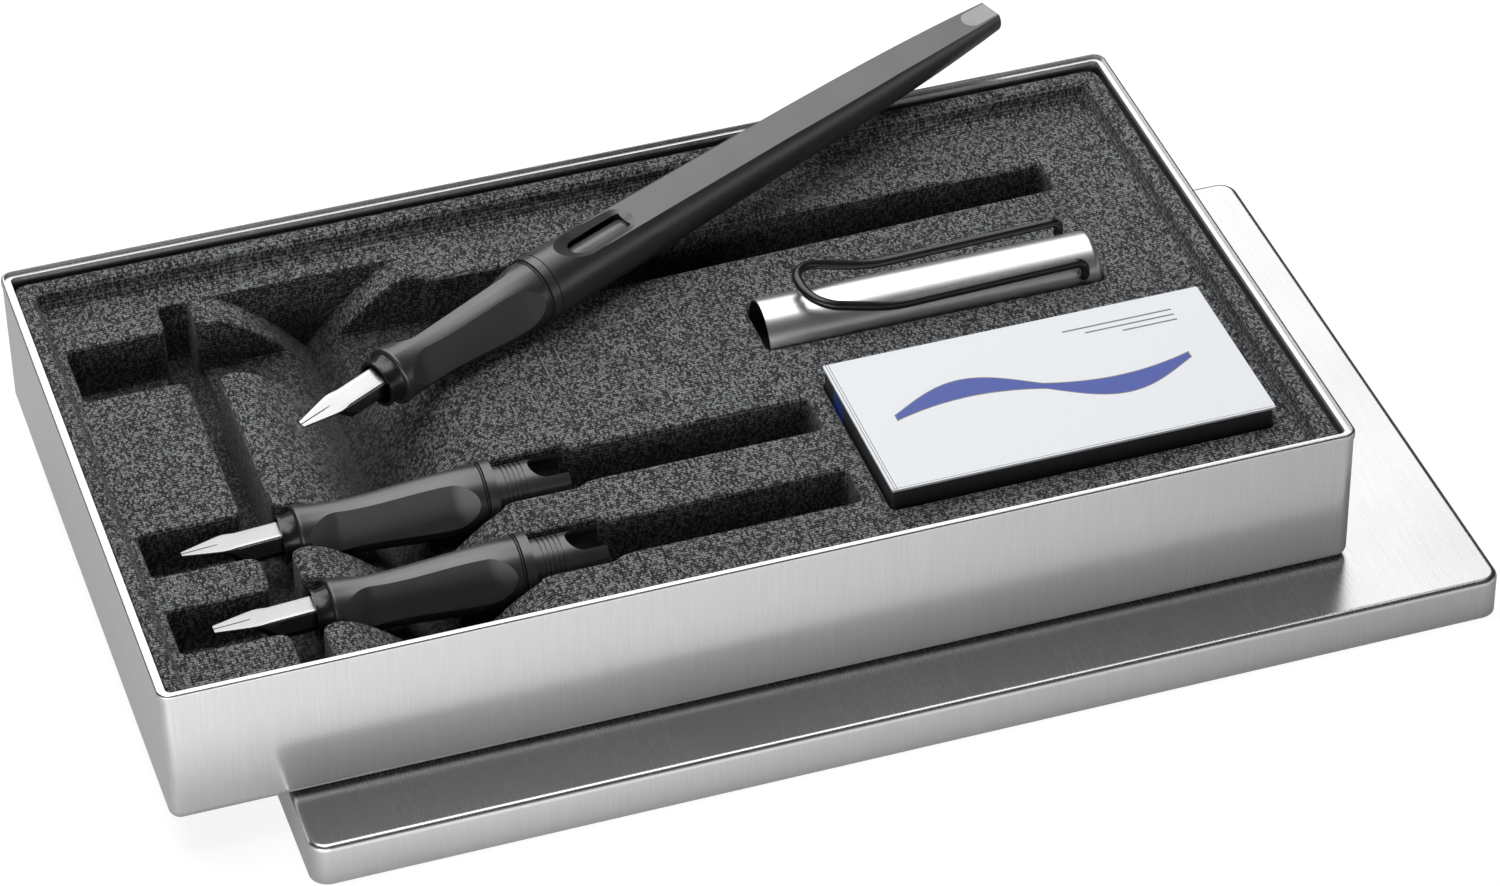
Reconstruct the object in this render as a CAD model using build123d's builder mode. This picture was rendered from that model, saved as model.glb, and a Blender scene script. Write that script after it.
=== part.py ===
"""Calligraphy set in a metal tin: lid, tray, soft insert, pen, two spare grip sections, cap and carton.

Millimetres, +Z up. While it is modelled, the middle of the tray is at X = Y = 0 and the table at Z = 0. At
the end everything is shifted so that the origin is under the middle of the whole arrangement.
"""

from build123d import *

import os
from math import asin, cos, degrees, radians, sin

# --- Tin ----------------------------------------------------------------------------------------------
SHEET = 0.4
TRAY_LENGTH = 225.8
TRAY_WIDTH = 130.8
TRAY_HEIGHT = 29.4
BEAD_WIDTH = 1.8
BEAD_HEIGHT = 1.5
BEAD_OVERHANG = 0.2
BEAD_EDGE_RADIUS = 0.6
BEAD_INNER_HEIGHT = 0.9
TRAY_CORNER = 2.2
TRAY_FOOT_RADIUS = 2.0
LID_FIT = 1.0
LID_HEIGHT = 8.7
LID_CORNER = 3.6
LID_EDGE_RADIUS = 1.2
LID_SHIFT_X = 23.0
LID_SHIFT_Y = -13.5

# --- Soft insert: levels are heights above the underside of the tray ----------------------------------
INSERT_FIT = 0.25
INSERT_CORNER = 2.4
INSERT_FOOT_RADIUS = 2.4
BORDER_LEVEL = 27.3
FIELD_LEVEL = 23.1
BORDER_LEFT = 5.5
BORDER_RIGHT = 5.9
BORDER_FRONT = 4.4
BORDER_BACK = 6.2
FIELD_CORNER = 2.0
POCKET_CORNER = 1.3
GROOVE_FROM_LEFT = 27.6
GROOVE_WIDTH = 5.9
GROOVE_FROM_FRONT = 5.5
GROOVE_FROM_BACK = 12.2
GROOVE_LEVEL = 10.0
TROUGH_FROM_LEFT = 38.1
TROUGH_LEFT_SLOPE = 17.8
TROUGH_RIGHT_SLOPE = 18.1
TROUGH_FROM_BACK = 12.4
TROUGH_LEVEL = 6.8
TROUGH_BULGE = 0.9
SLOT_FROM_LEFT = 8.0
PEN_SLOT_FROM_BACK = 28.4
PEN_NIB_SLOT_WIDTH = 16.0
PEN_NOTCH_WIDTH = 18.5
PEN_NOTCH_LENGTH = 22.5
PEN_SLOT_FROM_RIGHT = 22.0
PEN_SLOT_WIDE = 15.6
PEN_SLOT_NARROW = 8.2
PEN_SLOT_LEVEL = 12.0
SPARE_CHANNEL_WIDTH = 12.2
SPARE_CHANNEL_LENGTH = 80.9
SPARE_TAIL_WIDTH = 9.6
SPARE_TAIL_LENGTH = 80.3
FLANGE_SIDE_GAP = 0.45
FLANGE_END_GAP = 0.5

# --- Grip section, the same on the pen and the two spares; distances run from the grip's front face ---
SEAT_GAP = 0.3
GRIP_LENGTH = 35.0
GRIP_FRONT_RADIUS = 5.9
GRIP_NECK_RADIUS = 5.3
GRIP_REAR_RADIUS = 6.25
GRIP_NECK_AT = 7.8
GRIP_MIDDLE_AT = 18.0
GRIP_MIDDLE_RADIUS = 5.72
GRIP_LIP = 0.7
GRIP_FLAT_ANGLE = 60.0
GRIP_FLAT_PROFILE = [(0.6, 6.2), (6.2, 3.85), (30.0, 5.0), (34.6, 6.6)]
GRIP_FLAT_BEND = 7.0
SEAL_GAP = 0.1
SEAL_WIDTH = 0.5
SEAL_DEPTH = 0.6
SEAL_RADIUS = 6.4
SEAL_EDGE = 0.2
FLANGE_WIDTH = 1.8
FLANGE_RADIUS = 6.75
SPIGOT_RADIUS = 4.95
SPIGOT_BORE = 4.3
SPIGOT_LENGTH = 7.0
THREAD_GROOVES = 5
THREAD_PITCH = 0.92
THREAD_GROOVE_WIDTH = 0.35
THREAD_DEPTH = 0.3
THREAD_START = 2.0
FORK_LENGTH = 7.0
FORK_GAP = 6.0
BORE_START = 17.0
NECK_BORE_FIT = 0.15
NECK_RELIEF = 0.5
CHANNEL_RADIUS = 1.4
COLLAR_LENGTH = 2.9
COLLAR_RADIUS = 4.3
COLLAR_REAR_RADIUS = 4.9
COLLAR_FLANGE_RADIUS = 4.65
COLLAR_FLANGE = 0.5
COLLAR_DEPTH = 2.2
COLLAR_SHANK_RADIUS = 4.2
COLLAR_BORE = 3.95
COLLAR_FIT = 0.05

# --- Feed and steel nib -------------------------------------------------------------------------------
NIB_REACH = 21.0
NIB_SHOULDER = 7.6
NIB_WIDTH = 4.8
NIB_SHEET = 0.3
NIB_LEVEL = 2.7
NIB_SLOPE = 3.5
NIB_SIDE_DROP = 3.3
NIB_SIDE_SLANT = 3.0
NIB_TAIL = 0.5
NIB_SLIT_WIDTH = 0.12
NIB_SLIT_LENGTH = 6.5
FEED_FIT = 0.1
FEED_REACH = 14.0
FEED_TAIL = 1.8
FEED_DEPTH = 2.7
FEED_CORNER = 1.6
FEED_TIP_LENGTH = 4.5
FEED_NIPPLE_RADIUS = 1.2
NIPPLE_FIT = 0.2
SPARE_TIP_WIDTHS = {"spare_1": 1.1, "spare_2": 1.9}
PEN_TIP_WIDTH = 1.5

# --- Ink cartridge ------------------------------------------------------------------------------------
CARTRIDGE_LENGTH = 73.0
CARTRIDGE_RADIUS = 3.65
CARTRIDGE_NECK_RADIUS = 2.9
CARTRIDGE_NECK = 18.0
CARTRIDGE_SHOULDER = 1.0
CARTRIDGE_MOUTH_DEPTH = 1.4
CARTRIDGE_AT = 19.0

# --- Barrel of the pen, distances again from the grip's front face ------------------------------------
BARREL_GAP = 0.2
BARREL_START = GRIP_LENGTH + SEAL_GAP + SEAL_WIDTH + FLANGE_WIDTH + BARREL_GAP
BARREL_END = 157.6
RIM_CROSSING = 131.0
RIM_CROSSING_RADIUS = 4.8
BARREL_PROFILE = [(BARREL_START, FLANGE_RADIUS), (57.0, 6.35), (94.0, 5.7),
                  (RIM_CROSSING, RIM_CROSSING_RADIUS), (149.0, 3.85)]
BARREL_END_RADIUS = 3.2
BARREL_FIT = 0.08
BARREL_BORE = 3.85
BARREL_BORE_END = 94.0
FACET_END = [(BARREL_END - 28.6, 3.6), (BARREL_END - 13.6, 2.9), (BARREL_END, 2.1)]
FACET_PROFILE = [(47.6, 7.0), (49.6, 5.25), (64.0, 5.0), (99.0, 4.4), *FACET_END]
FACET_BEND = 5.0
WINDOW_AT = 52.6
WINDOW_LENGTH = 12.6
WINDOW_WIDTH = 3.6
WINDOW_LEVEL = 4.3
WINDOW_SLANT = 64.0
WINDOW_RISE = 3.0
INLAY_LENGTH = 7.6
INLAY_WIDTH = 4.2
INLAY_THICKNESS = 0.5

# --- Where the pen leans: its underside bears on the insert and on the back rim of the tray -----------
PEN_GRIP_FROM_LEFT = 62.3
PEN_GRIP_FROM_BACK = 54.8
PEN_YAW = 24.4
HEAD_ROLL = 13.0
BARREL_ROLL = 7.0

# --- Spare sections: where each grip front lies, from the tray's left end and from its front side ------
SPARE_AXIS_LEVEL = 20.2
SPARE_PLACES = {"spare_1": (35.95, 46.2), "spare_2": (36.4, 23.9)}

# --- Cap, mouth towards -X ----------------------------------------------------------------------------
CAP_FROM_RIGHT = 23.7
CAP_FROM_BACK = 56.4
CAP_LENGTH = 67.5
CAP_RADIUS = 6.75
CAP_WALL = 0.25
CAP_LEVEL = 21.6
CAP_END_RADIUS = 1.2
CAP_END_OPENING = 5.0
LINER_WALL = 0.25
CROWN_LENGTH = 9.0
CAP_RECESS_SIDE = 0.35
CAP_RECESS_END = 0.6
CLIP_WIRE_RADIUS = 0.95
CLIP_PIVOT_INSET = 4.2
CLIP_PIVOT_RISE = 2.85
CLIP_PIVOT_FIT = 0.05
CLIP_LEG_Y = 6.9
CLIP_FOOT_Y = 7.35
CLIP_STUB_DEPTH = 2.0
CLIP_LEG_RISE = 6.5
CLIP_DIP_RISE = 5.5
CLIP_TIP_RISE = 9.7
CLIP_DIP_X = 24.0
CLIP_TIP_X = 8.2
CLIP_BENDS = [1.2, 1.8, 28.0, 6.0, 6.0, 28.0, 1.8, 1.2]

# --- Carton of ink cartridges -------------------------------------------------------------------------
CARTON_FROM_RIGHT = 10.6
CARTON_FROM_FRONT = 15.1
CARTON_LENGTH = 74.6
CARTON_WIDTH = 38.9
CARTON_HEIGHT = 9.0
CARTON_TOP_LEVEL = 27.35
CARTON_BOARD = 0.5
COVER_BOARD = 0.45
COVER_CORNER = 0.3
COVER_OVERHANG = 0.35
COVER_GAP = 0.1
CARTRIDGE_PLAY = 0.05
CARTON_RECESS_GAP = 0.35
CARTON_CORNER = 0.5
CARTRIDGE_COUNT = 5
CARTRIDGE_PITCH = 7.45

# --- Levels and sizes that follow from the values above -----------------------------------------------
TRAY_BASE = LID_HEIGHT
INSERT_BASE = TRAY_BASE + SHEET
FIELD_Z = TRAY_BASE + FIELD_LEVEL
BORDER_Z = TRAY_BASE + BORDER_LEVEL
RIM_Z = TRAY_BASE + TRAY_HEIGHT
LEFT_END = -TRAY_LENGTH / 2
RIGHT_END = TRAY_LENGTH / 2
FRONT_SIDE = -TRAY_WIDTH / 2
BACK_SIDE = TRAY_WIDTH / 2
FIELD_LEFT = LEFT_END + BORDER_LEFT
FIELD_RIGHT = RIGHT_END - BORDER_RIGHT
FIELD_FRONT = FRONT_SIDE + BORDER_FRONT
FIELD_BACK = BACK_SIDE - BORDER_BACK
GROOVE_LEFT = LEFT_END + GROOVE_FROM_LEFT
GROOVE_RIGHT = GROOVE_LEFT + GROOVE_WIDTH
GROOVE_FRONT = FRONT_SIDE + GROOVE_FROM_FRONT
GROOVE_BACK = BACK_SIDE - GROOVE_FROM_BACK
TROUGH_LEFT = LEFT_END + TROUGH_FROM_LEFT
TROUGH_VALLEY = TROUGH_LEFT + TROUGH_LEFT_SLOPE
TROUGH_RIGHT = TROUGH_VALLEY + TROUGH_RIGHT_SLOPE
TROUGH_BACK = BACK_SIDE - TROUGH_FROM_BACK
SLOT_LEFT = LEFT_END + SLOT_FROM_LEFT
PEN_SLOT_Y = BACK_SIDE - PEN_SLOT_FROM_BACK
PEN_SLOT_RIGHT = RIGHT_END - PEN_SLOT_FROM_RIGHT
PEN_NOTCH_RIGHT = TROUGH_VALLEY + PEN_NOTCH_LENGTH
SPARE_CHANNEL_RIGHT = SLOT_LEFT + SPARE_CHANNEL_LENGTH
SPARE_TAIL_RIGHT = TROUGH_VALLEY + SPARE_TAIL_LENGTH
PEN_GRIP_X = LEFT_END + PEN_GRIP_FROM_LEFT
PEN_GRIP_Y = BACK_SIDE - PEN_GRIP_FROM_BACK
CAP_MOUTH_X = RIGHT_END - CAP_FROM_RIGHT - CAP_LENGTH
CAP_Y = BACK_SIDE - CAP_FROM_BACK
CLIP_PIVOT_X = CAP_LENGTH - CLIP_PIVOT_INSET
CARTON_LEFT = RIGHT_END - CARTON_FROM_RIGHT - CARTON_LENGTH
CARTON_BACK = FRONT_SIDE + CARTON_FROM_FRONT + CARTON_WIDTH
SEAL_AT = GRIP_LENGTH + SEAL_GAP
FLANGE_AT = SEAL_AT + SEAL_WIDTH
SPIGOT_AT = FLANGE_AT + FLANGE_WIDTH
FORK_AT = SPIGOT_AT + SPIGOT_LENGTH
TAIL_END = FORK_AT + FORK_LENGTH
WIDE_BORE_AT = CARTRIDGE_AT + CARTRIDGE_NECK - NECK_RELIEF
CUT_REACH = 3 * FLANGE_RADIUS


def level_frame(x, y, z):
    """Frame of a level pen part: local X runs from nib to tail, local Z is the nib's upper side."""
    return Plane(origin=(x, y, z), x_dir=(1, 0, 0), z_dir=(0, 0, 1))


def leaning_frame():
    """Frame of the pen, whose barrel bears on the insert's field and on the tray's back rim."""
    yaw = radians(PEN_YAW)
    rise = RIM_Z + RIM_CROSSING_RADIUS - FIELD_Z - FLANGE_RADIUS
    pitch = asin(rise / (RIM_CROSSING - BARREL_START))
    fat_z = FIELD_Z + FLANGE_RADIUS / cos(pitch) + SEAT_GAP
    direction = Vector(cos(pitch) * cos(yaw), cos(pitch) * sin(yaw), sin(pitch))
    upper_side = Vector(-sin(pitch) * cos(yaw), -sin(pitch) * sin(yaw), cos(pitch))
    origin = (PEN_GRIP_X, PEN_GRIP_Y, fat_z - BARREL_START * sin(pitch))
    return Plane(origin=origin, x_dir=direction, z_dir=upper_side)


def raised(frame, height):
    """Plane along a frame's axis, facing its upper side, at a height above the axis."""
    return Plane(origin=frame.origin + frame.z_dir * height, x_dir=frame.x_dir, z_dir=frame.z_dir)


def rolled(frame, angle):
    """Frame turned about its own axis, by degrees that carry its upper side towards its -Y."""
    turn = radians(angle)
    upper_side = frame.z_dir * cos(turn) - frame.y_dir * sin(turn)
    return Plane(origin=frame.origin, x_dir=frame.x_dir, z_dir=upper_side)


def tipped(frame, angle):
    """Frame turned about its own Y, by degrees that lower its nib end."""
    turn = radians(angle)
    direction = frame.x_dir * cos(turn) + frame.z_dir * sin(turn)
    upper_side = frame.z_dir * cos(turn) - frame.x_dir * sin(turn)
    return Plane(origin=frame.origin, x_dir=direction, z_dir=upper_side)


def side_plane(frame):
    """Upright plane through a frame's axis: local X runs along the axis, local Y is the upper side."""
    return Plane(origin=frame.origin, x_dir=frame.x_dir, z_dir=-frame.y_dir)


def across(frame, distance):
    """Plane square to a frame's axis, at a distance along it, with local Y as the upper side."""
    origin = frame.origin + frame.x_dir * distance
    return Plane(origin=origin, x_dir=frame.y_dir, z_dir=frame.x_dir)


def turned(frame, outline):
    """Solid turned about the frame's axis from corners given as (distance along the axis, radius)."""
    with BuildPart() as body:
        with BuildSketch(side_plane(frame)):
            with BuildLine():
                Polyline(*outline, close=True)
            make_face()
        revolve(axis=Axis(frame.origin, frame.x_dir))
    return body.part


def soft_box(base, length, width, height, corner, edge, rounded_top):
    """Box with round upright corners and its top or its bottom edge rounded."""
    with BuildPart() as body:
        with BuildSketch(base):
            RectangleRounded(length, width, corner)
        extrude(amount=height)
        end = body.faces().sort_by(Axis.Z)[-1 if rounded_top else 0]
        fillet(end.edges(), edge)
    return body.part


def make_tray():
    """Drawn sheet tray with a rolled bead round its rim."""
    wall_inset = 2 * BEAD_OVERHANG
    length, width = TRAY_LENGTH - wall_inset, TRAY_WIDTH - wall_inset
    hollow = soft_box(Plane.XY.offset(TRAY_BASE + SHEET), length - 2 * SHEET, width - 2 * SHEET,
                      TRAY_HEIGHT, TRAY_CORNER - SHEET, TRAY_FOOT_RADIUS - SHEET, False)
    bead_base = RIM_Z - BEAD_HEIGHT
    with BuildPart() as tray:
        add(soft_box(Plane.XY.offset(TRAY_BASE), length, width, TRAY_HEIGHT - BEAD_HEIGHT / 2,
                     TRAY_CORNER, TRAY_FOOT_RADIUS, False))
        with BuildSketch(Plane.XY.offset(bead_base)):
            RectangleRounded(TRAY_LENGTH, TRAY_WIDTH, TRAY_CORNER + BEAD_OVERHANG)
        extrude(amount=BEAD_HEIGHT)
        bead_edges = tray.faces().sort_by(Axis.Z)[-1].edges()
        fillet(bead_edges, BEAD_EDGE_RADIUS)
        add(hollow, mode=Mode.SUBTRACT)
        with BuildSketch(Plane.XY.offset(bead_base)):
            RectangleRounded(TRAY_LENGTH, TRAY_WIDTH, TRAY_CORNER + BEAD_OVERHANG)
            RectangleRounded(TRAY_LENGTH - 2 * BEAD_WIDTH, TRAY_WIDTH - 2 * BEAD_WIDTH, TRAY_CORNER / 2,
                             mode=Mode.SUBTRACT)
        extrude(amount=BEAD_INNER_HEIGHT)
    tray.part.label = "tray_shell"
    return tray.part


def make_lid():
    """Slip-over lid, lying flat side up under the tray."""
    inner_length, inner_width = TRAY_LENGTH + 2 * LID_FIT, TRAY_WIDTH + 2 * LID_FIT
    place = Location((LID_SHIFT_X, LID_SHIFT_Y, 0))
    shell = soft_box(Plane.XY, inner_length + 2 * SHEET, inner_width + 2 * SHEET, LID_HEIGHT, LID_CORNER,
                     LID_EDGE_RADIUS, True)
    hollow = soft_box(Plane.XY, inner_length, inner_width, LID_HEIGHT - SHEET, LID_CORNER - SHEET,
                      LID_EDGE_RADIUS - SHEET, True)
    with BuildPart() as lid:
        add(shell.moved(place))
        add(hollow.moved(place), mode=Mode.SUBTRACT)
    lid.part.label = "lid_shell"
    return lid.part


def insert_pockets():
    """Straight pockets of the insert, as (left, right, middle y, width, floor z)."""
    grip_floor = TRAY_BASE + SPARE_AXIS_LEVEL - FLANGE_RADIUS - SEAT_GAP
    cap_floor = TRAY_BASE + CAP_LEVEL - CAP_RADIUS - SEAT_GAP
    pen_floor = TRAY_BASE + PEN_SLOT_LEVEL
    groove_y, groove_width = (GROOVE_FRONT + GROOVE_BACK) / 2, GROOVE_BACK - GROOVE_FRONT
    cap_right = CAP_MOUTH_X + CAP_LENGTH + CAP_RECESS_END
    carton_y = CARTON_BACK - CARTON_WIDTH / 2
    carton_floor = TRAY_BASE + CARTON_TOP_LEVEL - CARTON_HEIGHT
    yield GROOVE_LEFT, GROOVE_RIGHT, groove_y, groove_width, TRAY_BASE + GROOVE_LEVEL
    yield SLOT_LEFT, TROUGH_VALLEY, PEN_SLOT_Y, PEN_NIB_SLOT_WIDTH, pen_floor
    yield TROUGH_VALLEY, PEN_NOTCH_RIGHT, PEN_SLOT_Y, PEN_NOTCH_WIDTH, pen_floor
    for from_left, from_front in SPARE_PLACES.values():
        axis_y = FRONT_SIDE + from_front
        flange_right = LEFT_END + from_left + SPIGOT_AT + FLANGE_END_GAP
        yield SLOT_LEFT, SPARE_CHANNEL_RIGHT, axis_y, SPARE_CHANNEL_WIDTH, grip_floor
        yield TROUGH_VALLEY, flange_right, axis_y, 2 * (FLANGE_RADIUS + FLANGE_SIDE_GAP), grip_floor
        yield TROUGH_VALLEY, SPARE_TAIL_RIGHT, axis_y, SPARE_TAIL_WIDTH, grip_floor
    yield (CAP_MOUTH_X - CAP_RECESS_END, cap_right, CAP_Y, 2 * (CAP_RADIUS + CAP_RECESS_SIDE), cap_floor)
    yield (CARTON_LEFT - CARTON_RECESS_GAP, CARTON_LEFT + CARTON_LENGTH + CARTON_RECESS_GAP, carton_y,
           CARTON_WIDTH + 2 * CARTON_RECESS_GAP, carton_floor)


def make_insert():
    """Soft block that fills the tray, with a sunk field and a pocket for each thing it holds."""
    length = TRAY_LENGTH - 2 * (BEAD_WIDTH + INSERT_FIT)
    width = TRAY_WIDTH - 2 * (BEAD_WIDTH + INSERT_FIT)
    open_height = BORDER_Z - TRAY_BASE
    with BuildPart() as insert:
        add(soft_box(Plane.XY.offset(INSERT_BASE), length, width, BORDER_Z - INSERT_BASE, INSERT_CORNER,
                     INSERT_FOOT_RADIUS - SHEET, False))
        with BuildSketch(Plane.XY.offset(FIELD_Z)):
            with Locations(((FIELD_LEFT + FIELD_RIGHT) / 2, (FIELD_FRONT + FIELD_BACK) / 2)):
                RectangleRounded(FIELD_RIGHT - FIELD_LEFT, FIELD_BACK - FIELD_FRONT, FIELD_CORNER)
        extrude(amount=BORDER_Z - FIELD_Z, mode=Mode.SUBTRACT)
        for left, right, middle_y, pocket_width, floor in insert_pockets():
            with BuildSketch(Plane.XY.offset(floor)):
                with Locations(((left + right) / 2, middle_y)):
                    RectangleRounded(right - left, pocket_width, POCKET_CORNER)
            extrude(amount=open_height, mode=Mode.SUBTRACT)
        with BuildSketch(Plane.XY.offset(TRAY_BASE + PEN_SLOT_LEVEL)) as slot:
            with BuildLine():
                Polyline((TROUGH_VALLEY, PEN_SLOT_Y - PEN_SLOT_WIDE / 2),
                         (PEN_SLOT_RIGHT, PEN_SLOT_Y - PEN_SLOT_NARROW / 2),
                         (PEN_SLOT_RIGHT, PEN_SLOT_Y + PEN_SLOT_NARROW / 2),
                         (TROUGH_VALLEY, PEN_SLOT_Y + PEN_SLOT_WIDE / 2), close=True)
            make_face()
            fillet(slot.vertices().group_by(Axis.X)[-1], POCKET_CORNER)
        extrude(amount=open_height, mode=Mode.SUBTRACT)
        left_shoulder, right_shoulder = (TROUGH_LEFT, FIELD_Z), (TROUGH_RIGHT, FIELD_Z)
        valley = (TROUGH_VALLEY, TRAY_BASE + TROUGH_LEVEL)
        left_middle = ((TROUGH_LEFT + TROUGH_VALLEY) / 2 + TROUGH_BULGE,
                       (FIELD_Z + valley[1]) / 2 + TROUGH_BULGE)
        right_middle = ((TROUGH_RIGHT + TROUGH_VALLEY) / 2 - TROUGH_BULGE, left_middle[1])
        with BuildSketch(Plane.XZ.offset(-TROUGH_BACK)):
            with BuildLine():
                ThreePointArc(left_shoulder, left_middle, valley)
                ThreePointArc(valley, right_middle, right_shoulder)
                Polyline(right_shoulder, (TROUGH_RIGHT, BORDER_Z), (TROUGH_LEFT, BORDER_Z), left_shoulder)
            make_face()
        extrude(amount=TROUGH_BACK - FIELD_FRONT, mode=Mode.SUBTRACT)
    insert.part.label = "insert"
    return insert.part


def make_section(frame, label):
    """Grip section: waisted grip with two hollowed finger flats, seal groove, flange, spigot and fork."""
    shank_bore = COLLAR_SHANK_RADIUS + COLLAR_FIT
    neck_bore = CARTRIDGE_NECK_RADIUS + NECK_BORE_FIT
    groove_radius = GRIP_REAR_RADIUS - SEAL_DEPTH
    flat_front, flat_rear = GRIP_FLAT_PROFILE[0], GRIP_FLAT_PROFILE[-1]
    with BuildPart() as section:
        with BuildSketch(side_plane(frame)):
            with BuildLine():
                Line((0, shank_bore), (0, GRIP_FRONT_RADIUS - GRIP_LIP))
                TangentArc((0, GRIP_FRONT_RADIUS - GRIP_LIP), (GRIP_LIP, GRIP_FRONT_RADIUS), tangent=(0, 1))
                Spline((GRIP_LIP, GRIP_FRONT_RADIUS), (GRIP_NECK_AT, GRIP_NECK_RADIUS),
                       (GRIP_MIDDLE_AT, GRIP_MIDDLE_RADIUS), (GRIP_LENGTH, GRIP_REAR_RADIUS))
                Polyline((GRIP_LENGTH, GRIP_REAR_RADIUS), (GRIP_LENGTH, groove_radius),
                         (FLANGE_AT, groove_radius), (FLANGE_AT, FLANGE_RADIUS),
                         (SPIGOT_AT, FLANGE_RADIUS), (SPIGOT_AT, SPIGOT_RADIUS), (TAIL_END, SPIGOT_RADIUS),
                         (TAIL_END, SPIGOT_BORE), (WIDE_BORE_AT, SPIGOT_BORE), (WIDE_BORE_AT, neck_bore),
                         (BORE_START, neck_bore), (BORE_START, CHANNEL_RADIUS),
                         (COLLAR_DEPTH + COLLAR_FIT, CHANNEL_RADIUS), (COLLAR_DEPTH + COLLAR_FIT, shank_bore),
                         (0, shank_bore))
            make_face()
        revolve(axis=Axis(frame.origin, frame.x_dir))
        for angle in (GRIP_FLAT_ANGLE, -GRIP_FLAT_ANGLE):
            with BuildSketch(side_plane(rolled(frame, angle))):
                with BuildLine():
                    FilletPolyline(*GRIP_FLAT_PROFILE, radius=GRIP_FLAT_BEND)
                    Polyline(flat_rear, (flat_rear[0], CUT_REACH), (flat_front[0], CUT_REACH), flat_front)
                make_face()
            extrude(amount=CUT_REACH, both=True, mode=Mode.SUBTRACT)
        with BuildSketch(side_plane(frame)):
            for turn in range(THREAD_GROOVES):
                with Locations((SPIGOT_AT + THREAD_START + turn * THREAD_PITCH, SPIGOT_RADIUS)):
                    Rectangle(THREAD_GROOVE_WIDTH, 2 * THREAD_DEPTH)
        revolve(axis=Axis(frame.origin, frame.x_dir), mode=Mode.SUBTRACT)
        with BuildSketch(raised(frame, -CUT_REACH)):
            with Locations((FORK_AT + FORK_LENGTH, 0)):
                SlotOverall(2 * FORK_LENGTH, FORK_GAP)
        extrude(amount=2 * CUT_REACH, mode=Mode.SUBTRACT)
    section.part.label = label
    return section.part


def make_seal(frame, label):
    """Rounded rubber ring in front of the flange, a little proud of the grip."""
    middle, inner = SEAL_AT + SEAL_WIDTH / 2, GRIP_REAR_RADIUS - SEAL_DEPTH
    with BuildPart() as seal:
        with BuildSketch(side_plane(frame)) as profile:
            with Locations((middle, (SEAL_RADIUS + inner) / 2)):
                Rectangle(SEAL_WIDTH, SEAL_RADIUS - inner)
            fillet(profile.vertices().group_by(Axis.Y)[-1], SEAL_EDGE)
        revolve(axis=Axis(frame.origin, frame.x_dir))
    seal.part.label = label
    return seal.part


def make_collar(frame, label):
    """Glossy collar, flared towards the grip, with a thin flange in front; it carries nib and feed."""
    flange_back = COLLAR_FLANGE - COLLAR_LENGTH
    with BuildPart() as collar:
        with BuildSketch(side_plane(frame)):
            with BuildLine():
                Polyline((-COLLAR_LENGTH, COLLAR_BORE), (-COLLAR_LENGTH, COLLAR_FLANGE_RADIUS),
                         (flange_back, COLLAR_FLANGE_RADIUS), (flange_back, COLLAR_RADIUS))
                TangentArc((flange_back, COLLAR_RADIUS), (0, COLLAR_REAR_RADIUS), tangent=(1, 0))
                Polyline((0, COLLAR_REAR_RADIUS), (0, COLLAR_SHANK_RADIUS),
                         (COLLAR_DEPTH, COLLAR_SHANK_RADIUS), (COLLAR_DEPTH, COLLAR_BORE),
                         (-COLLAR_LENGTH, COLLAR_BORE))
            make_face()
        revolve(axis=Axis(frame.origin, frame.x_dir))
    collar.part.label = label
    return collar.part


def make_feed(frame, label):
    """Ink feed under the nib, sloped at the tip, with the nipple that opens the cartridge."""
    seat = tipped(frame, NIB_SLOPE)
    half_width = NIB_WIDTH / 2 - NIB_SHEET - FEED_FIT
    height = NIB_LEVEL + FEED_DEPTH
    nipple_end = CARTRIDGE_AT + CARTRIDGE_MOUTH_DEPTH - NIPPLE_FIT
    with BuildPart() as feed:
        with BuildSketch(across(seat, -FEED_REACH)) as profile:
            with Locations((0, NIB_LEVEL - height / 2)):
                Rectangle(2 * half_width, height)
            fillet(profile.vertices().group_by(Axis.Y)[0], FEED_CORNER)
        extrude(amount=FEED_REACH + FEED_TAIL)
        with BuildSketch(side_plane(seat)):
            with BuildLine():
                Polyline((-FEED_REACH, NIB_LEVEL - NIB_SHEET), (-FEED_REACH + FEED_TIP_LENGTH, -FEED_DEPTH),
                         (-FEED_REACH, -FEED_DEPTH), close=True)
            make_face()
        extrude(amount=NIB_WIDTH, both=True, mode=Mode.SUBTRACT)
        with BuildSketch(across(frame, 0)):
            Circle(FEED_NIPPLE_RADIUS)
        extrude(amount=nipple_end)
    feed.part.label = label
    return feed.part


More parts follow.
